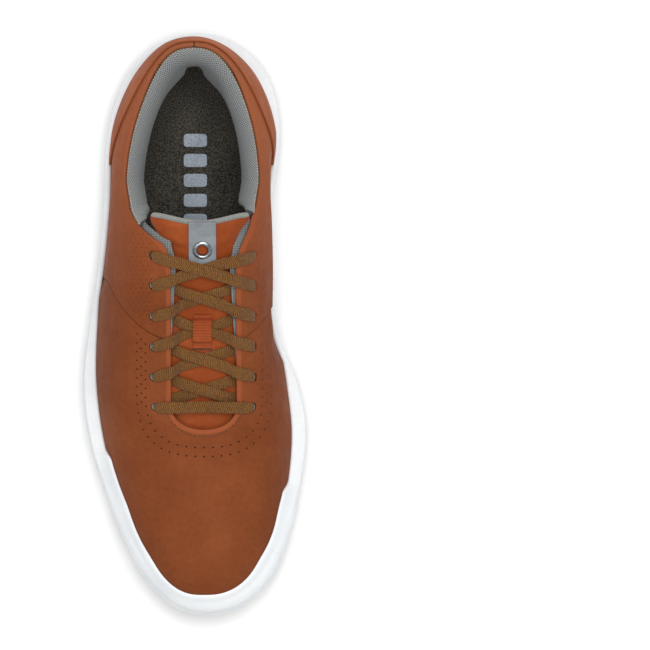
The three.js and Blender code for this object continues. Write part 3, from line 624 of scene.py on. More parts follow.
def make(name, points, faces, materials, body="shoe", replaces=(), choice=None, weave=None, rim=None):
    """A piece from points in millimetres. choice is each face's material, weave its cloth coordinates."""
    mesh = bpy.data.meshes.new(name)
    mesh.from_pydata((np.asarray(points, float) * MM).tolist(), [], [tuple(int(i) for i in f) for f in faces])
    for material in materials:
        mesh.materials.append(material)
    if choice is not None:
        mesh.polygons.foreach_set("material_index", np.asarray(choice, np.int32))
    corners = np.zeros(len(mesh.loops), np.int32)
    mesh.loops.foreach_get("vertex_index", corners)
    if weave is not None:
        layer = mesh.uv_layers.new(name="weave")
        layer.data.foreach_set("uv", np.asarray(weave, np.float32)[corners].ravel())
    attribute = mesh.attributes.new("rim", "FLOAT", "POINT")
    levels = np.full(len(mesh.vertices), 9.0) if rim is None else rim
    attribute.data.foreach_set("value", np.asarray(levels, np.float32))
    mesh.polygons.foreach_set("use_smooth", np.ones(len(mesh.polygons), bool))
    mesh.update()
    piece = placed(name, mesh, (0, 0, 0))
    if body is not None:
        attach(piece, body)
    if replaces:
        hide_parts(*replaces)
    return piece


def grid_faces(rows, cols, wrap=False, first=0):
    """Quads over a grid stored row by row; wrap joins the last column to the first."""
    faces = []
    for i in range(rows - 1):
        for j in range(cols if wrap else cols - 1):
            k = (j + 1) % cols
            faces.append((first + i * cols + j, first + i * cols + k,
                          first + (i + 1) * cols + k, first + (i + 1) * cols + j))
    return faces


def closed_faces(rows, count):
    """Quads over a closed ring of closed rings."""
    return [tuple(p % (rows * count) for p in f) for f in grid_faces(rows + 1, count, wrap=True)]


def tube(sections, first=0):
    """Faces of a closed tube through rings of equal size, with flat ends."""
    rings, count = len(sections), len(sections[0])
    faces = grid_faces(rings, count, wrap=True, first=first)
    faces.append(tuple(first + j for j in reversed(range(count))))
    faces.append(tuple(first + (rings - 1) * count + j for j in range(count)))
    return faces


# ---- The upper's leather, cut from a fine grid over the last ----

ROWS = 430
COLUMNS = 230


def last_grid():
    """Points and normals evenly spread over the upper's surface."""
    v = np.linspace(0.0006, 0.9994, 3000)
    y = station_y(v)
    top = footbed(y) + crown(y) * closing(y)
    ways = np.stack([y, top * 0.8, upper.left(y) * 0.7, upper.right(y) * 0.7], axis=1)
    along = length_along(ways)
    rows = np.interp(np.linspace(0, along[-1], ROWS), along, v)
    angles = np.linspace(-np.pi / 2, np.pi / 2, 900)
    grid = np.empty((ROWS, COLUMNS))
    for i, station in enumerate(rows):
        section = surface(station_y(station), angles)
        around = length_along(section)
        grid[i] = np.interp(np.linspace(0, around[-1], COLUMNS), around, angles)
    stations = np.repeat(rows[:, None], COLUMNS, axis=1)
    return surface(station_y(stations), grid), outward(stations, grid)


LAST, NORMAL = last_grid()
LAST_X, LAST_Y, LAST_Z = LAST[..., 0], LAST[..., 1], LAST[..., 2]


def throat_polygon():
    angles = np.pi * (1 + np.arange(25) / 24)
    bottom = THROAT_BOTTOM + 14 - 14 * np.abs(np.sin(angles)) ** 0.8
    points = list(zip(THROAT_X + THROAT_HALF * np.cos(angles), bottom))
    right = spline([(THROAT_X + THROAT_HALF, 20), (THROAT_X + THROAT_HALF + 0.1, 29),
                    (THROAT_X + 19.1, 38), (29, 49.5), (31, 58)], 6)
    left = spline([(-26.2, 58), (-24.2, 49.5), (THROAT_X - 19.1, 38),
                   (THROAT_X - THROAT_HALF - 0.1, 29), (THROAT_X - THROAT_HALF, 20)], 6)
    return points + right.tolist() + left.tolist()


THROAT = throat_polygon()
SEAM = spline(VAMP_SEAM[1:-1], 8)
SEAM = np.vstack([[VAMP_SEAM[0]], SEAM, [VAMP_SEAM[-1]]])
FRONT = np.vstack([SEAM, [[75, -200], [-75, -200]]])
FROM_THROAT = polygon_distance(LAST_X, LAST_Y, THROAT)
FROM_SEAM = polygon_distance(LAST_X, LAST_Y, FRONT)
ABOVE_COLLAR = np.where(LAST_Y > COLLAR_FRONT_Y, LAST_Z - collar_top(LAST_Y), -50)


def eyelet_field():
    """The distance from the nearest lace hole's edge, negative in the leather."""
    nearest = np.full(LAST_X.shape, 1e9)
    for y, out in zip(EYELET_ROWS, EYELET_OUT):
        for side in (-1, 1):
            x = THROAT_X + side * out
            middle = over(x, y, 0)
            axis = unit(over(x, y, -3) - over(x, y, 3))
            offset = LAST - middle
            off_axis = np.linalg.norm(offset - (offset @ axis)[..., None] * axis, axis=-1)
            nearest = np.minimum(nearest, np.where(np.linalg.norm(offset, axis=-1) < 12, off_axis, 1e9))
    return EYELET_HOLE - nearest


HOLES = eyelet_field()


def clipped(field):
    """The part of the grid where the field is negative, cut smoothly along its zero line."""
    rows, cols = field.shape
    value = field.ravel()
    inside = value <= 0
    i, j = np.meshgrid(np.arange(rows - 1), np.arange(cols - 1), indexing="ij")
    a = (i * cols + j).ravel()
    quads = np.stack([a, a + 1, a + cols + 1, a + cols], axis=1)
    count = inside[quads].sum(axis=1)
    faces = quads[count == 4].tolist()
    extra, ends = {}, []
    total = rows * cols
    for quad in quads[(count > 0) & (count < 4)].tolist():
        polygon = []
        for p, q in zip(quad, quad[1:] + quad[:1]):
            if inside[p]:
                polygon.append(p)
            if inside[p] != inside[q]:
                key = (min(p, q), max(p, q))
                if key not in extra:
                    extra[key] = total + len(ends)
                    ends.append(key)
                polygon.append(extra[key])
        faces.append(polygon)
    pairs = np.array(ends).reshape(-1, 2)
    share = value[pairs[:, 0]] / (value[pairs[:, 0]] - value[pairs[:, 1]])

    def sampled(grid):
        flat = grid.reshape(total, -1)
        return np.vstack([flat, mix(flat[pairs[:, 0]], flat[pairs[:, 1]], share[:, None])])

    used = np.unique(np.concatenate([np.ravel(f) for f in faces]))
    renumber = np.full(total + len(ends), -1)
    renumber[used] = np.arange(len(used))
    faces = [[int(renumber[p]) for p in f] for f in faces]
    return faces, lambda grid: sampled(grid)[used]


def boundary(faces):
    """The outline edges of a set of faces, in their faces' own direction."""
    seen = dict.fromkeys((p, q) for face in faces for p, q in zip(face, face[1:] + face[:1]))
    return [(p, q) for p, q in seen if (q, p) not in seen]


def panel(name, field, outer, inner, materials, replaces=(), relief=None, edge=0.4, weave=None,
          coarse=1, sheet=None, body="shoe"):
    """A skin between two depths below a sheet, with rounded edges. relief sinks its outer face."""
    thin = slice(None, None, coarse)
    faces, sample = clipped((field + edge)[thin, thin])
    grid, facing = (LAST, NORMAL) if sheet is None else sheet
    base, normal = sample(grid[thin, thin]), unit(sample(facing[thin, thin]))
    sunk = np.zeros(len(base)) if relief is None else sample(relief[thin, thin])[:, 0]
    distance = sample(FROM_THROAT[thin, thin])[:, 0] if sheet is None else np.full(len(base), 9.0)
    top = base - normal * (outer + sunk)[:, None]
    count = len(base)
    rim_edges = boundary(faces)
    sideways = np.zeros((count, 3))
    for p, q in rim_edges:
        direction = np.cross(unit(top[q] - top[p]), normal[p])
        sideways[p] += direction
        sideways[q] += direction
    sideways = unit(sideways)
    rim = sorted({p for e in rim_edges for p in e})
    place = {p: k for k, p in enumerate(rim)}
    rounds = [(math.sin(a) * edge, (1 - math.cos(a)) * edge) for a in np.radians([30, 60, 90])]
    points = [top, base - normal * inner + sideways * edge]
    for out, down in rounds:
        points.append(top[rim] + sideways[rim] * out - normal[rim] * down)
    all_faces = [list(f) for f in faces] + [[p + count for p in reversed(f)] for f in faces]
    choice = [0] * len(faces) + [2] * len(faces)
    for p, q in rim_edges:
        ladder_p = [p] + [2 * count + k * len(rim) + place[p] for k in range(3)] + [p + count]
        ladder_q = [q] + [2 * count + k * len(rim) + place[q] for k in range(3)] + [q + count]
        for k in range(4):
            all_faces.append([ladder_q[k], ladder_p[k], ladder_p[k + 1], ladder_q[k + 1]])
            choice.append(0 if k < 2 else 1)
    levels = np.concatenate([distance, distance] + [distance[rim]] * 3)
    cloth = None
    if weave is not None:
        flat = sample(weave[thin, thin])
        cloth = np.vstack([flat, flat] + [flat[rim]] * 3)
    return make(name, np.vstack(points), all_faces, materials, body=body, replaces=replaces,
                choice=choice, rim=np.clip(levels, 0, 12), weave=cloth)


# ---- Camera, light and floor ----

CAMERA_AWAY = 8.0        # metres straight above the shoe
VIEW_WIDTH = 0.336       # metres seen from side to side on the ground


lens = bpy.data.cameras.new("camera")
lens.sensor_width = 36
lens.lens = 36 * CAMERA_AWAY / VIEW_WIDTH
lens.clip_end = 30
bpy.context.scene.camera = placed("camera", lens, (0.067, -0.0004, CAMERA_AWAY))
bpy.context.scene.view_settings.view_transform = "Standard"

world = bpy.data.worlds.new("studio")
world.use_nodes = True
sky = world.node_tree.nodes["Background"].inputs
sky["Color"].default_value = (1, 1, 1, 1)
sky["Strength"].default_value = 0.5
bpy.context.scene.world = world


def softbox(name, place, size, power):
    """A round lamp, in metres and watts, turned towards the shoe."""
    data = bpy.data.lights.new(name, "AREA")
    data.shape = "DISK"
    data.size = size
    data.energy = power
    x, y, z = place
    placed(name, data, place).rotation_euler = (math.atan2(math.hypot(x, y), z), 0, math.atan2(-x, y))


softbox("key", (0.22, 0.4, 1.9), 1.3, 27)
softbox("fill", (-0.3, -0.7, 1.7), 1.1, 9)

floor_mesh = bpy.data.meshes.new("floor")
floor_mesh.from_pydata([(-3, -3, 0), (3, -3, 0), (3, 3, 0), (-3, 3, 0)], [], [(0, 1, 2, 3)])
floor_look = Look("floor", roughness=0.9, specular=0.1)
floor_tone = floor_look.ramp(floor_look.noise(700, 1), [(0.3, 0.93), (0.7, 0.96)])
floor_mesh.materials.append(floor_look.finish(floor_tone))
placed("floor", floor_mesh, (0, 0, CAD_BOX[0][2] - 0.0002))

# ---- Lace ----

OVER = -0.9         # depth of the lace's middle on top of the leather
UNDER = 4.85        # and below the lining
NARROW = 4.2        # its width inside a hole
NEAR_HOLE = 5.6     # and just beside one
LACE_STEP = 1.1
X_AXIS = np.array([1.0, 0, 0])


def on_shoe(x, y, depth, width, turn=0.0):
    """One stop of the lace: its place, its width and the direction across the ribbon."""
    lengthways = unit(over(x, y + 1, depth) - over(x, y - 1, depth))
    sideways = unit(over(x + 1, y, depth) - over(x - 1, y, depth))
    return over(x, y, depth), width, mix(lengthways, sideways, turn)


def crossing(from_row, to_row, side, start, end, middle, waist):
    from_x, to_x = EYELET_OUT[from_row], -EYELET_OUT[to_row]
    plan = [(from_x - 2.8, start, NEAR_HOLE), (20.8, start, LACE_WIDTH), (16.3, start, LACE_WIDTH),
            (11.5, middle, LACE_WIDTH), (5, middle, waist), (0, middle, waist), (-5, middle, waist),
            (-11.5, middle, LACE_WIDTH), (-16.3, end, LACE_WIDTH), (-20.8, end, LACE_WIDTH),
            (to_x + 2.8, end, NEAR_HOLE)]
    stops = []
    for out, depth, width in plan:
        y = mix(EYELET_ROWS[from_row], EYELET_ROWS[to_row], (from_x - out) / (from_x - to_x))
        stops.append(on_shoe(THROAT_X + side * out, y, depth, width))
    return stops


def through(row, side, start, end):
    x, y = THROAT_X + side * EYELET_OUT[row], EYELET_ROWS[row]
    plan = [(0.8, 0.06), (0, 0.35), (0, 0.65), (0.8, 0.94)]
    return [on_shoe(x - side * back, y, mix(start, end, share), NARROW) for back, share in plan]


def tail(side):
    """From the top lace hole down behind the tongue and forward into the toe, folded back once."""
    x, y = THROAT_X + side * EYELET_OUT[0], EYELET_ROWS[0]
    plan = [(0.8, 0, OVER + 0.25, NARROW, 0), (0, 0, 0.9, NARROW, 0), (0, 0, 2.6, NARROW, 0),
            (0, 0, 5.5, NARROW, 0), (0, 0, 9, 4, 0.3), (1, 1.5, 12.5, 4.6, 0.7), (3.5, 7, 16, 5.4, 1),
            (7, 16, 17, LACE_WIDTH, 1)]
    stops = [on_shoe(x - side * a, y - b, depth, width, turn) for a, b, depth, width, turn in plan]

    def lane(at):
        return THROAT_X + side * mix(14, 9, smooth(20, -60, at))

    for at in (0, -20, -40, -60, -80, -96, -106):
        share = smooth(-20, -100, at)
        low = np.array([lane(at), at, footbed(at) + INSOLE_THICK + 9])
        across = over(lane(at) + 1, at, 15) - over(lane(at) - 1, at, 15)
        stops.append((mix(over(lane(at), at, 17), low, share), LACE_WIDTH, mix(across, X_AXIS, share)))
    lifts = [(-112, 7.5), (-114, 4.8), (-112, 2.2)] + [(at, 1.2) for at in (-104, -84, -64, -44, -30)]
    for at, lift in lifts:
        width = 3 if at == -30 else LACE_WIDTH
        stops.append((np.array([lane(at), at, footbed(at) + INSOLE_THICK + lift]), width, X_AXIS))
    return stops


def lace_half(side):
    last = len(EYELET_ROWS) - 1
    stops = through(last, side, OVER, UNDER)
    at = side
    for row in range(last, 0, -1):
        start = UNDER if row == last else OVER
        end = OVER if row == 1 else UNDER
        on_top = at > 0
        middle = 3.35 if on_top else 4.75
        if row == 1:
            middle = 0.6 if on_top else 1.9
        stops += crossing(row, row - 1, at, start, end, middle, 4.6 if row == 3 else LACE_WIDTH)
        at = -at
        if row > 1:
            stops += through(row - 1, at, UNDER, OVER)
    return stops + tail(at)


def lace_stops():
    row = EYELET_ROWS[-1]
    bar = [on_shoe(THROAT_X + out, row, float(mix(0.6, OVER, smooth(0, 15, abs(out)))), LACE_WIDTH)
           for out in (-20.8, -16.3, -8, 0, 8, 16.3, 20.8)]
    return lace_half(-1)[::-1] + bar + lace_half(1)


stops = lace_stops()
stop_points = np.array([s[0] for s in stops])
gaps = np.linalg.norm(np.diff(stop_points, axis=0), axis=1)
counts = [max(2, int(round(g / LACE_STEP))) for g in gaps]
lace_line = spline(stop_points, counts)
at_stop = [[i + k / n for k in range(n)] for i, n in enumerate(counts)]
at_stop = np.concatenate(at_stop + [[len(counts)]])
order = np.arange(len(stops))
lace_width = np.interp(at_stop, order, [s[1] for s in stops])
hint = np.stack([np.interp(at_stop, order, [unit(s[2])[k] for s in stops]) for k in range(3)], axis=1)
lace_along = unit(np.gradient(lace_line, axis=0))
lace_across = unit(hint - lace_along * np.sum(hint * lace_along, axis=1, keepdims=True))
lace_face = np.cross(lace_along, lace_across)


def lace_ribbon():
    turn = circle(16)
    wide, tall = squared(np.cos(turn), 0.55), squared(np.sin(turn), 0.8)
    rings, cloth = [], []
    travelled = length_along(lace_line)
    for i, centre in enumerate(lace_line):
        half = lace_width[i] / 2
        thick = LACE_THICK / 2 * (1 + 0.12 * (LACE_WIDTH - lace_width[i]) / LACE_WIDTH)
        ring = lace_across[i] * (wide * half)[:, None] + lace_face[i] * (tall * thick)[:, None]
        rings.append(centre + ring)
        cloth.append(np.stack([wide * half, np.full(len(turn), travelled[i])], axis=1))
    piece = make("lace_ribbon", np.vstack(rings), tube(rings), [LACE_WEAVE],
                 replaces=["lace"], weave=np.vstack(cloth))
    return piece, travelled[-1]


def lathe(name, profile, centre, axis, materials, body="shoe", replaces=(), count=40):
    """A ring turned round an axis, from a closed profile of (radius, height)."""
    axis = unit(np.array(axis, float))
    side = unit(np.cross(axis, [0.3, 1, 0.2]))
    other = np.cross(axis, side)
    points = []
    for radius, rise in profile:
        for a in circle(count):
            points.append(centre + axis * rise + (side * math.cos(a) + other * math.sin(a)) * radius)
    return make(name, points, closed_faces(len(profile), count), materials, body=body, replaces=replaces)


def aglet(name, node, tip, before):
    """The film-wrapped end of the lace, with a rounded mouth and a slight waist."""
    along = unit(tip - before)
    start = np.array(tip) + np.array([0, 0, 0.6]) + along * 0.3
    profile = [(0.45, 0.2), (1.2, 0), (1.32, 0.5), (1.26, 2), (1.2, 10), (1.24, 18), (1.3, 19.2),
               (1.1, 19.9), (0.45, 19.7)]
    return lathe(name, profile, start, along, [AGLET_FILM], replaces=[node], count=20)


lace, lace_length = lace_ribbon()
aglets = [aglet("aglet_tube_a", "aglet_a", lace_line[0], lace_line[1]),
          aglet("aglet_tube_b", "aglet_b", lace_line[-1], lace_line[-2])]

# ---- Sole rim ----


def inset_at(loop, inward, z):
    """How far in along each inward ray the upper's side is met at a height."""
    def clear(inset):
        x, y = (loop + inward * inset[:, None]).T
        return (outside(x, y, z) > 0) | (y < upper.toe_y + 0.02) | (y > upper.heel_y - 0.02)

    return bisected(np.zeros(len(loop)), np.full(len(loop), 16.0), 26, clear)


def rim_shape():
    loop = sole.loop[::2]
    inward = sole.inwards()[::2]
    y = loop[:, 1]
    toe = np.where(loop[:, 0] > 4, smooth(-81, -88, y), smooth(-65, -72, y))
    base, low, top = ground(y) + 6, ground(y) + 13, rim_top(y)
    high = top - 5
    lip = toe * mix(3.0, mix(5.2, 9.0, smooth(-118, -92, y)), smooth(-144, -122, y))
    wide = 0.3 + 2.6 * smooth(-95, -145, y)
    deep = inset_at(loop, inward, top)
    narrow = np.minimum(0.9 + 6.6 * smooth(-80, -140, y), deep - 1.9)
    wide = np.minimum(wide, narrow)
    rings = [(2.6, base), (1.7, base + 0.2), (1.25, base + 1), (0.25, low - 1), (0, low)]
    for share in (0.3, 0.62):
        level = mix(low, high, share)
        inset = mix(0, wide, share)
        for rise, dent in ((-0.7, 0), (-0.35, 0.45), (0.35, 0.45), (0.7, 0)):
            rings.append((inset + dent, level + rise))
    rings += [(mix(0, wide, 0.85), mix(low, high, 0.85)), (wide, high), (mix(wide, narrow, 0.6), top - 2.2),
              (narrow - 0.2, top - 0.8), (narrow + 0.25, top - 0.1)]
    for share, gap, rise in ((0.3, 1.7, 0.1), (0.7, 1.5, 0.3), (1, 1.1, 0.2), (1, 0.4, 0.1), (1, 0.0, -0.5)):
        level = top + lip * share + rise
        inset = np.maximum(inset_at(loop, inward, level) - gap, narrow + 0.3)
        rings.append((inset, level))
    rings.append((deep + 0.1, top - 2.5))
    inner = inset_at(loop, inward, ground(y) + stack(y) + 0.5)
    rings += [(inner + 0.1, base + 5), (inner, base)]
    points = []
    for inset, z in rings:
        inset = np.broadcast_to(inset, y.shape)
        points.append(np.column_stack([loop + inward * inset[:, None], np.broadcast_to(z, y.shape)]))
    return points


def sole_rim():
    rings = rim_shape()
    make("sole_rim", np.vstack(rings), closed_faces(len(rings), len(rings[0])), [RIM_RUBBER],
         replaces=["midsole_cup"])


sole_rim()

# ---- Upper leather ----



def seam_sink(from_seam):
    """How far the vamp dips along its seam; from_seam is negative on the vamp."""
    return 0.8 * (1 - smooth(0, 6, -from_seam))


LEATHER_FIELD = np.maximum.reduce([-FROM_THROAT, ABOVE_COLLAR, HOLES])
FOXING_FIELD = np.maximum.reduce([82 - LAST_Y, LAST_Z - foxing_top(LAST_Y), rim_top(LAST_Y) - 3 - LAST_Z])
THROAT_SINK = 0.75 * (1 - smooth(0.4, 2.4, FROM_THROAT))
VAMP_SINK = seam_sink(FROM_SEAM) + THROAT_SINK
LEATHERS = [EDGE_LEATHER, FLESH_SIDE]
# Painted shade: a dark brown strip under the vamp's seam, seen through the seam gap as the shade under the
# quarter's edge.
SEAM_SHADE_FIELD = np.maximum.reduce([LEATHER_FIELD + 1.5, np.abs(FROM_SEAM) - 2.2, footbed(LAST_Y) + 0.6 - LAST_Z])
panel("seam_shade_strip", SEAM_SHADE_FIELD, 1.25, 1.75, [SEAM_SHADOW] * 3, edge=0.2)
SEAM_GAP = 0.42
panel("vamp_panel", np.maximum(LEATHER_FIELD, FROM_SEAM + SEAM_GAP), 0, LEATHER, [VAMP_LEATHER] + LEATHERS,
      replaces=["vamp"], relief=VAMP_SINK, edge=0.3)
for side, name in ((1, "lateral"), (-1, "medial")):
    panel(f"quarter_panel_{name}", np.maximum.reduce([LEATHER_FIELD, -FROM_SEAM, side * LAST_X + 0.15]), 0,
          LEATHER, [QUARTER_LEATHER] + LEATHERS, replaces=[f"quarter_{name}"],
          relief=THROAT_SINK)
panel("foxing_panel", FOXING_FIELD, -1.25, -0.1, [FOXING_LEATHER] + LEATHERS,
      replaces=["heel_foxing"], edge=0.45)

REVEAL = mix(-1.0, 2.3, smooth(-34, 36, LAST_Y)) + 2.6 * smooth(38, 45, LAST_Y)
LINING_FIELD = np.maximum.reduce([-(FROM_THROAT + REVEAL), ABOVE_COLLAR - 3.5, LAST_Y - 54,
                                  footbed(LAST_Y) + 6 - LAST_Z])
WEAVE_MAP = np.stack([LAST_X + LAST_Y, LAST_X - LAST_Y], axis=-1) * 0.7
panel("vamp_lining_mesh", LINING_FIELD, 2.6, 3.15, [GREY_KNIT] * 3, replaces=["vamp_lining"],
      edge=0.2, weave=WEAVE_MAP, coarse=2)

# ---- Collar ----

COLLAR_PROFILE = [
    (-6, 1.9), (-2, 1.9), (0.2, 2.0), (1.6, 2.7), (2.3, 4.2), (2.5, 6.0), (2.0, 7.9), (0.6, 9.7), (-2, 11.1),
    (-6, 12.2), (-11, 12.4), (-17, 11.2), (-24, 9.6), (-32, 8.0), (-42, 6.6),
]


def wall_point(bearing, drop):
    """Where the upper's wall, drop below the collar's edge, is met going out from inside the opening."""
    def place(reach):
        x, y = OPENING_X + np.cos(bearing) * reach, OPENING_Y + np.sin(bearing) * reach
        level = collar_top(np.clip(y, COLLAR_FRONT_Y, 150)) + drop
        return x, y, np.maximum(level, footbed(y) + 5)

    def inside(reach):
        x, y, z = place(reach)
        return (outside(x, y, z) < 0) & (y < upper.heel_y - 0.01)

    near, far = np.full(bearing.shape, 4.0), np.full(bearing.shape, 80.0)
    return np.stack(place(bisected(near, far, 32, inside)), axis=1)


def collar_sheet():
    """Rows of points round the opening, from the outer side's front end to the inner side's."""
    front = 48.5
    start = math.atan2(front - OPENING_Y, -31)
    end = math.atan2(front - OPENING_Y, 38)
    step = 0.9
    bearings = np.linspace(end, start + 2 * np.pi, 900)
    edge = wall_point(bearings, 0.0)
    keep = edge[:, 1] > front
    along = length_along(edge[keep])
    bearings = np.interp(np.arange(0, along[-1], step), along, bearings[keep])
    rows = []
    for rise, depth in COLLAR_PROFILE:
        wall = wall_point(bearings, min(rise, 0.0))
        tangent = unit(np.gradient(wall[:, :2], axis=0))
        inward = np.stack([-tangent[:, 1], tangent[:, 0]], axis=1)
        point = wall.copy()
        ends = np.minimum(np.arange(len(wall)), len(wall) - 1 - np.arange(len(wall))) * step
        from_heel = np.abs(bearings - np.pi / 2)
        swell = 4.0 * np.exp(-(((from_heel - 0.4) / 0.4) ** 2)) * smooth(0, 0.3, from_heel)
        full = depth + swell * smooth(2.0, -12.0, rise) * smooth(-48, -20, rise)
        point[:, :2] += inward * (full * mix(0.62, 1, smooth(0, 7, ends)))[:, None]
        point[:, 2] += max(rise, 0.0)
        rows.append(point)
    return np.array(rows)


def rounded_rows(rows, steps=4):
    """More rows between the given ones, on smooth lines across them."""
    fine = [spline(rows[:, k], steps) for k in range(rows.shape[1])]
    return np.stack(fine, axis=1)


def collar():
    rows = rounded_rows(collar_sheet())
    lines, columns = rows.shape[:2]
    across = np.array([length_along(rows[:, k]) for k in range(columns)]).T
    along = length_along(rows[32])
    cloth = np.stack([np.broadcast_to(along, (lines, columns)), across], axis=-1)
    faces = [f[::-1] for f in grid_faces(lines, columns)]
    last = (lines - 1) * columns
    faces += [(k, k + 1, last + k + 1, last + k) for k in range(columns - 1)]
    faces += [tuple(i * columns for i in range(lines)),
              tuple(i * columns + columns - 1 for i in reversed(range(lines)))]
    piece = make("collar_pad", rows.reshape(-1, 3), faces, [COLLAR_KNIT],
                 replaces=["collar_lining", "collar_foam"], weave=cloth.reshape(-1, 2))
    return rows


collar_rows = collar()

# ---- Tongue ----

FLAP_ROOT = over(THROAT_X, FLAP_ROOT_Y, TONGUE[0])


def flap_point(x, s, depth):
    """A point of the tongue's free top, s along it from its root and depth below its outer face."""
    x, s, depth = np.broadcast_arrays(*(np.asarray(a, float) for a in (x, s, depth)))
    middles = (np.arange(12) + 0.5) / 12
    turn = mix(*FLAP_SLOPE, np.clip(s[..., None] * middles / FLAP_LENGTH, 0, 1))
    y = FLAP_ROOT[1] + s * np.cos(turn).mean(axis=-1)
    z = FLAP_ROOT[2] + s * np.sin(turn).mean(axis=-1)
    a = mix(*FLAP_SLOPE, np.clip(s / FLAP_LENGTH, 0, 1))
    centre = mix(THROAT_X, FLAP_TOP_X, s / FLAP_LENGTH)
    droop = 2.8 * (np.abs(x - centre) / 17) ** 2
    return np.stack([x, y + depth * np.sin(a), z - droop - depth * np.cos(a)], axis=-1)


def flap_place(across, v):
    """Where a point of the free top lies, from its share across (-1 to 1) and along (0 to 1)."""
    start = 0.32 * np.abs(across) * FLAP_ROOT_HALF
    end = FLAP_LENGTH + 1.5 - 7.5 * (1 - np.abs(across) ** 1.5) - 2.5 * np.abs(across) ** 10
    s = mix(start, end, v)
    centre = mix(THROAT_X, FLAP_TOP_X, s / FLAP_LENGTH)
    half = mix(FLAP_ROOT_HALF, FLAP_TOP_HALF, smooth(0, 0.9, v)) + 2.8 * smooth(0.5, 0.95, v)
    half = half + np.where(across < 0, 3.2, 0) * smooth(0.08, 0.42, v) * (1 - smooth(0.5, 1, v))
    return centre + across * half, s


def tongue_rows(upper_face):
    """Rows of the padded tongue's outer or inner face, from its foot in the toe to its top edge."""
    across = np.sin(np.linspace(-np.pi / 2, np.pi / 2, 49))
    fullness = (1 - np.abs(across) ** 7) ** 0.5
    side = -1 if upper_face else 1
    rows = []
    for y in np.arange(-78, 27, 7.0):
        half = mix(27, 20.5, smooth(0, 34, y)) - 5 * smooth(-45, -80, y)
        rows.append(over(THROAT_X + across * half, y, TONGUE[0] + 2.5 + side * 2.5 * fullness))
    for v in (0.12, 0.25, 0.38, 0.5, 0.62, 0.74, 0.85, 0.93, 0.98, 1.0):
        x, s = flap_place(across, v)
        swell = 1.5 * np.exp(-(((np.abs(across) - 0.62) / 0.25) ** 2)) * smooth(0.1, 0.45, v)
        thin = math.sqrt(1 - (max(0, v - 0.8) / 0.2001) ** 2)
        half = (2.5 + (swell if upper_face else 0)) * fullness * thin + 0.05
        rows.append(flap_point(x, s, 2.5 + side * half))
    return rounded_rows(np.array(rows), 3)


def tongue():
    outer, inner = tongue_rows(True), tongue_rows(False)
    rings = np.concatenate([outer, inner[:, ::-1]], axis=1)
    lines, count = rings.shape[:2]
    faces = tube(list(rings))
    leather_columns = outer.shape[1] - 1
    choice = [int(k % count >= leather_columns) for k in range((lines - 1) * count)] + [1, 1]
    around = np.array([length_along(r) for r in rings])
    along = np.array([length_along(rings[:, k]) for k in range(count)]).T
    cloth = np.stack([around, along], axis=-1).reshape(-1, 2)
    piece = make("tongue_pad", rings.reshape(-1, 3), faces, [TONGUE_LEATHER, GREY_KNIT],
                 choice=choice, weave=cloth, body=None,
                 replaces=["tongue_leather", "tongue_foam", "tongue_lining", "tongue_top_leather",
                           "tongue_top_foam", "tongue_top_lining"])
    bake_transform(piece)


def tongue_rim():
    """The rolled mesh binding along the tongue's top edge."""
    across = np.linspace(-0.985, 0.985, 130)
    x, s = flap_place(across, 1.0)
    centre = flap_point(x, s + 0.3, 1.5)
    along = unit(np.gradient(centre, axis=0))
    up = unit(flap_point(x, s, 0) - flap_point(x, s, 2))
    back = np.cross(along, up)
    rings, cloth = [], []
    travelled = length_along(centre)
    for i in range(len(centre)):
        ends = min(i, len(centre) - 1 - i)
        radius = 1.45 * math.sqrt(1 - max(0, 1 - ends / 5) ** 2 * 0.98)
        turn = circle(14)
        ring = np.cos(turn)[:, None] * up[i] + np.sin(turn)[:, None] * back[i] * 0.9
        rings.append(centre[i] + radius * ring)
        cloth.append(np.stack([np.full(14, travelled[i]), turn * 1.4], axis=1))
    make("tongue_rim_roll", np.vstack(rings), tube(rings), [RIM_KNIT], body="tongue_top",
         weave=np.vstack(cloth))


TAB_DEPTH = -0.9      # the strap's middle, above the tongue's outer face
TAB_HALF = 7


def tab_sheet():
    """The strap's middle surface on the tongue, as a fine grid with its normals."""
    across = np.linspace(-7.6, 7.6, 40)
    rows = [over(EYELET_X + across, y, TONGUE[0] + TAB_DEPTH) for y in (24.0, 28.0)]
    rows += [flap_point(EYELET_X + across, s, TAB_DEPTH) for s in (0.8, 3, 6, 9, 12, 15, 18, 20, 21.6, 22.6)]
    grid = rounded_rows(np.array(rows), 8)
    normal = unit(np.cross(np.gradient(grid, axis=1), np.gradient(grid, axis=0)))
    return grid, normal


def tongue_tab():
    grid, normal = tab_sheet()
    hole = flap_point(EYELET_X, EYELET_S, TAB_DEPTH)
    away = np.linalg.norm(grid - hole, axis=-1)
    field = np.maximum.reduce([np.abs(grid[..., 0] - EYELET_X) - TAB_HALF, 2.9 - away, 24.6 - grid[..., 1]])
    along = np.broadcast_to(np.arange(grid.shape[0])[:, None] * 0.5, grid.shape[:2])
    piece = panel("tongue_tab_strap", field, -0.45, 0.45, [STRAP_GREY] * 3, edge=0.25,
                  replaces=["tongue_tab"], sheet=(grid, normal), body=None,
                  weave=np.stack([grid[..., 0], along], axis=-1))
    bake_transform(piece)
    axis = unit(flap_point(EYELET_X, EYELET_S, -3) - flap_point(EYELET_X, EYELET_S, 3))
    profile = [(2.7, -1.4), (3.2, -1.4), (3.2, 0), (4.7, 0), (4.95, 0.12), (4.95, 0.35), (4.7, 0.62),
               (4.2, 0.82), (3.6, 0.86), (3.1, 0.74), (2.8, 0.45), (2.7, 0)]
    seat = flap_point(EYELET_X, EYELET_S, -1.4)
    lathe("tab_eyelet_ring", profile, seat, axis, [EYELET_METAL], body="tongue_top",
          replaces=["tab_eyelet"], count=48)


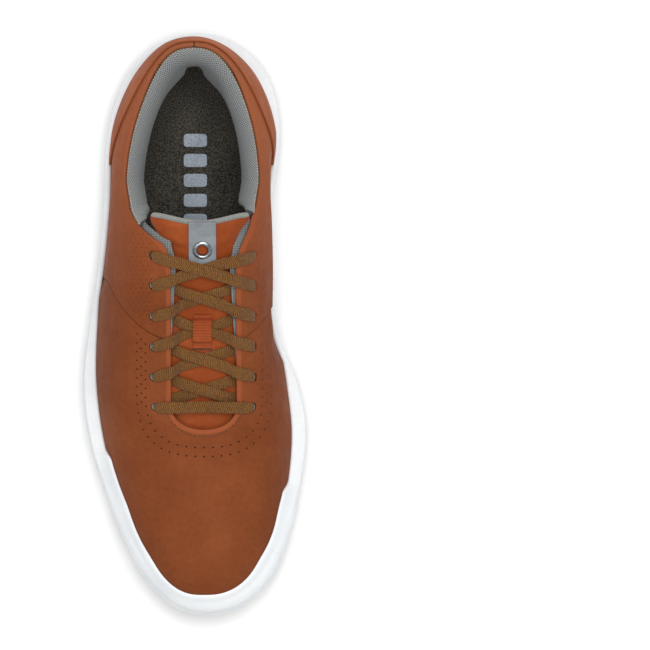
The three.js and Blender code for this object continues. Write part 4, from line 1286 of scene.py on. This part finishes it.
def slab_piece(name, top, bottom, materials, replaces):
    """A closed body between two grids of the same size."""
    rows, cols = top.shape[:2]
    total = rows * cols
    faces = grid_faces(rows, cols)
    faces += [tuple(total + p for p in reversed(f)) for f in grid_faces(rows, cols)]
    edge = list(range(cols)) + [i * cols + cols - 1 for i in range(1, rows)]
    edge += [(rows - 1) * cols + j for j in reversed(range(cols - 1))]
    edge += [i * cols for i in reversed(range(1, rows - 1))]
    for p, q in zip(edge, edge[1:] + edge[:1]):
        faces.append((q, p, p + total, q + total))
    make(name, np.vstack([top.reshape(-1, 3), bottom.reshape(-1, 3)]), faces, materials,
         replaces=replaces)


def keeper():
    """The ribbed strap that holds one crossing of the lace on the tongue."""
    outer = curve([(-13.9, 4.6), (-12.2, 4.6), (-9, 1.8), (0.9, 1.8), (1.8, 4.6), (2.8, 4.6)])
    inner = curve([(-13.9, 5.4), (-11.6, 5.4), (-8.4, 2.6), (0.3, 2.6), (0.9, 5.4), (2.8, 5.4)])
    y = np.linspace(-13.9, 2.8, 150)[:, None]
    u = np.sin(np.linspace(-np.pi / 2, np.pi / 2, 17))[None, :]
    ribs = 0.42 * np.abs(np.sin(np.pi * y / 1.42)) ** 0.8
    rounding = 0.35 * np.abs(u) ** 8
    x = KEEPER_X + u * KEEPER_HALF + 0 * y
    top = over(x, y + 0 * u, outer(y) + 0.25 - ribs + rounding)
    bottom = over(x, y + 0 * u, inner(y) - rounding)
    slab_piece("lace_keeper_strap", top, bottom, [STRAP_BROWN], replaces=["lace_keeper"])


tongue()
tongue_rim()
tongue_tab()
keeper()

# ---- Insole ----

insole_inset = 4.1 + 5.1 * smooth(15, 42, upper.loop[:, 1])
INSOLE = Outline((upper.loop + upper.inwards() * insole_inset[:, None])[::30])


def cover_height(x, y):
    """The insole's top face, turned up a little along its edge."""
    side = np.abs(2 * (x - INSOLE.left(y)) / np.maximum(INSOLE.right(y) - INSOLE.left(y), 1) - 1)
    return footbed(y) + INSOLE_THICK + 1.3 * np.clip(side, 0, 1) ** 5 * smooth(-20, 30, y)


def insole():
    v = (1 - np.cos(np.linspace(0.02, np.pi - 0.02, 170))) / 2
    y = mix(INSOLE.toe_y, INSOLE.heel_y, v)[:, None]
    u = np.sin(np.linspace(-np.pi / 2, np.pi / 2, 49))[None, :] * 0.5 + 0.5
    x = mix(INSOLE.left(y), INSOLE.right(y), u)
    y = y + 0 * u
    top = np.stack([x, y, cover_height(x, y)], axis=-1)
    bottom = np.stack([x, y, footbed(y) + 4.5], axis=-1)
    slab_piece("insole_cloth_cover", top, bottom, [INSOLE_CLOTH], replaces=["insole_cover"])


BAR_HALF_WIDTH, BAR_HALF_LENGTH, BAR_SPACING = 6, 3.4, 10.3


def insole_bars():
    """Plain printed bars down the heel of the insole."""
    points, faces = [], []
    turn = circle(48)
    shape_x, shape_y = squared(np.cos(turn), 0.35), squared(np.sin(turn), 0.35)
    for middle in np.arange(53.5, 105, BAR_SPACING):
        first = len(points)
        for share, lift in ((1.0, -0.2), (1.0, 0.08), (0.97, 0.14), (0.6, 0.14), (0.2, 0.14)):
            x = 0.2 + shape_x * BAR_HALF_WIDTH * share
            y = middle + shape_y * BAR_HALF_LENGTH * share
            points += np.stack([x, y, cover_height(x, y) + lift], axis=-1).tolist()
        rings = [points[first + 48 * k: first + 48 * k + 48] for k in range(5)]
        faces += tube(rings, first)
    make("insole_print_bars", points, faces, [PRINT_INK])


insole()
insole_bars()

# ---- Holes and stitches ----


def on_leather(plan):
    """Places on the leather's outer face, with the normals there."""
    plan = np.array(plan, float)
    x, y = plan[:, 0], plan[:, 1]
    seam = polygon_distance(x, y, FRONT)
    sink = np.where(seam < 0, seam_sink(seam), 0)
    return over(x, y, sink), unit(over(x, y, -1) - over(x, y, 1))


def tangents(normals, direction):
    side = unit(np.cross(normals, direction))
    return np.cross(side, normals), side


def holes(name, plan, radius, lip_material):
    """Punched holes: a flat disc painted dark as the shade inside the hole, with a softly raised lip."""
    centre, normal = on_leather(plan)
    first_way, second_way = tangents(normal, np.array([[0.0, 1.0, 0.0]]))
    profile = [(0.0, 0.03), (0.75, 0.03), (1.0, 0.06), (1.35, 0.07), (1.7, -0.06)]
    turn = circle(12)
    points, faces, choice = [], [], []
    for k in range(len(centre)):
        first = len(points)
        points.append(centre[k] + normal[k] * profile[0][1])
        for share, rise in profile[1:]:
            for a in turn:
                way = first_way[k] * math.cos(a) + second_way[k] * math.sin(a)
                points.append(centre[k] + way * share * radius + normal[k] * rise)
        for j in range(12):
            faces.append((first, first + 1 + (j + 1) % 12, first + 1 + j))
            choice.append(1)
        for ring in range(3):
            for j in range(12):
                a, b = first + 1 + ring * 12 + j, first + 1 + ring * 12 + (j + 1) % 12
                faces.append((a, b, b + 12, a + 12))
                choice.append(1 if ring == 0 else 0)
        faces.append(tuple(first + 1 + 36 + j for j in reversed(range(12))))
        choice.append(0)
    make(name, points, faces, [lip_material, PAINTED_HOLE_SHADE], choice=choice)


def stitches(name, centre, normal, along, length, width, material):
    """A row of short sewn threads, each sunk at both ends."""
    forward, side = tangents(normal, along)
    points, faces = [], []
    turn = circle(8)
    for k in range(len(centre)):
        rings = []
        for t in (-1, -0.85, -0.5, 0, 0.5, 0.85, 1):
            size = math.sqrt(max(0.02, 1 - t * t))
            rise = 0.75 * size - 0.35
            middle = centre[k] + forward[k] * t * length / 2 + normal[k] * width * rise
            rings.append([middle + width / 2 * size * (side[k] * math.cos(a) + normal[k] * math.sin(a))
                          for a in turn])
        faces += tube(rings, len(points))
        points += [p for ring in rings for p in ring]
    make(name, points, faces, [material])


def around_lacing(out, below, start, power=2.6):
    """A line in plan down one side of the throat, round its bottom and up the other side."""
    a = np.linspace(0, np.pi, 200)
    half, low = THROAT_HALF + out, THROAT_BOTTOM - below
    middle = -36.0
    x = THROAT_X + half * squared(np.cos(a), 2 / power)
    y = middle - (middle - low) * np.abs(np.sin(a)) ** (2 / power)
    line = np.stack([x, y], axis=1)
    top = np.array([[THROAT_X + half, start], [THROAT_X - half, start]])
    return np.vstack([top[:1], line, top[1:]])


def perforations():
    rows = spaced(around_lacing(12.8, 8.8, -1), 4.5).tolist()
    rows += spaced(around_lacing(17.2, 13.4, 4), 4.5).tolist()
    for side in (-1, 1):
        x = THROAT_X + side * (THROAT_HALF + 15)
        rows += [(x, y) for y in np.arange(1.5, -44, -4.6)]
    rows = [(x, y) for x, y in rows if polygon_distance(x, y, FRONT) < -2.2]
    holes("vamp_perforations", rows, 0.48, VAMP_LEATHER)
    field = []
    for i, y in enumerate(np.arange(0, 47, 2.3)):
        for j in range(5):
            offset = 1.35 if i % 2 else 0
            for side, base in ((-1, 26.5), (1, 27.5)):
                x = THROAT_X + side * (base + j * 2.7 + offset + 0.06 * max(0, y - 20))
                if polygon_distance(x, y, FRONT) > 3 and over(x, y, 0)[2] > footbed(y) + 28:
                    field.append((x, y))
    holes("quarter_perforations", field, 0.26, QUARTER_LEATHER)


def seam_threads():
    line = spaced(around_lacing(3.4, 3.2, -30, 2.2), 2.3)
    centre, normal = on_leather(line[line[:, 1] < -38])
    stitches("throat_stitches", centre, normal, np.gradient(centre, axis=0), 1.7, 0.5, BROWN_THREAD)
    edge = spaced(collar_rows[8], 1.5)
    inward = unit(np.array([[OPENING_X, OPENING_Y, 0]]) - edge * [1, 1, 0])
    up = unit(np.array([[0, 0, 1.0]]) - inward * 0.3)
    stitches("collar_stitches", edge + up * 0.25, up, np.gradient(edge, axis=0), 0.95, 0.7, PALE_THREAD)
    x = np.linspace(KEEPER_X - 4.6, KEEPER_X + 4.6, 8)
    y = -14.9
    normal = unit(over(x, y, -1) - over(x, y, 1))
    stitches("keeper_stitches", over(x, y, TONGUE[0]), normal, np.array([X_AXIS] * 8), 1.2, 0.7, DARK_TAPE)


perforations()
seam_threads()

# ---- Carried-over parts ----

BOARDS = ["strobel_board", "eyestay_stiffener_lateral", "eyestay_stiffener_medial", "toe_puff",
          "heel_counter"]
CARRIED = {"outsole": TREAD_RUBBER, "midsole_filler": WHITE_FOAM, "shank_plate": SHANK_PLASTIC,
           "insole_foam": GREY_FOAM, **dict.fromkeys(BOARDS, FIBRE_BOARD)}
for node, material in CARRIED.items():
    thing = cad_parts[node]
    if not thing.material_slots:
        thing.data.materials.append(material)
    for place in thing.material_slots:
        place.material = material

# ---- Finish ----

bpy.context.view_layer.update()
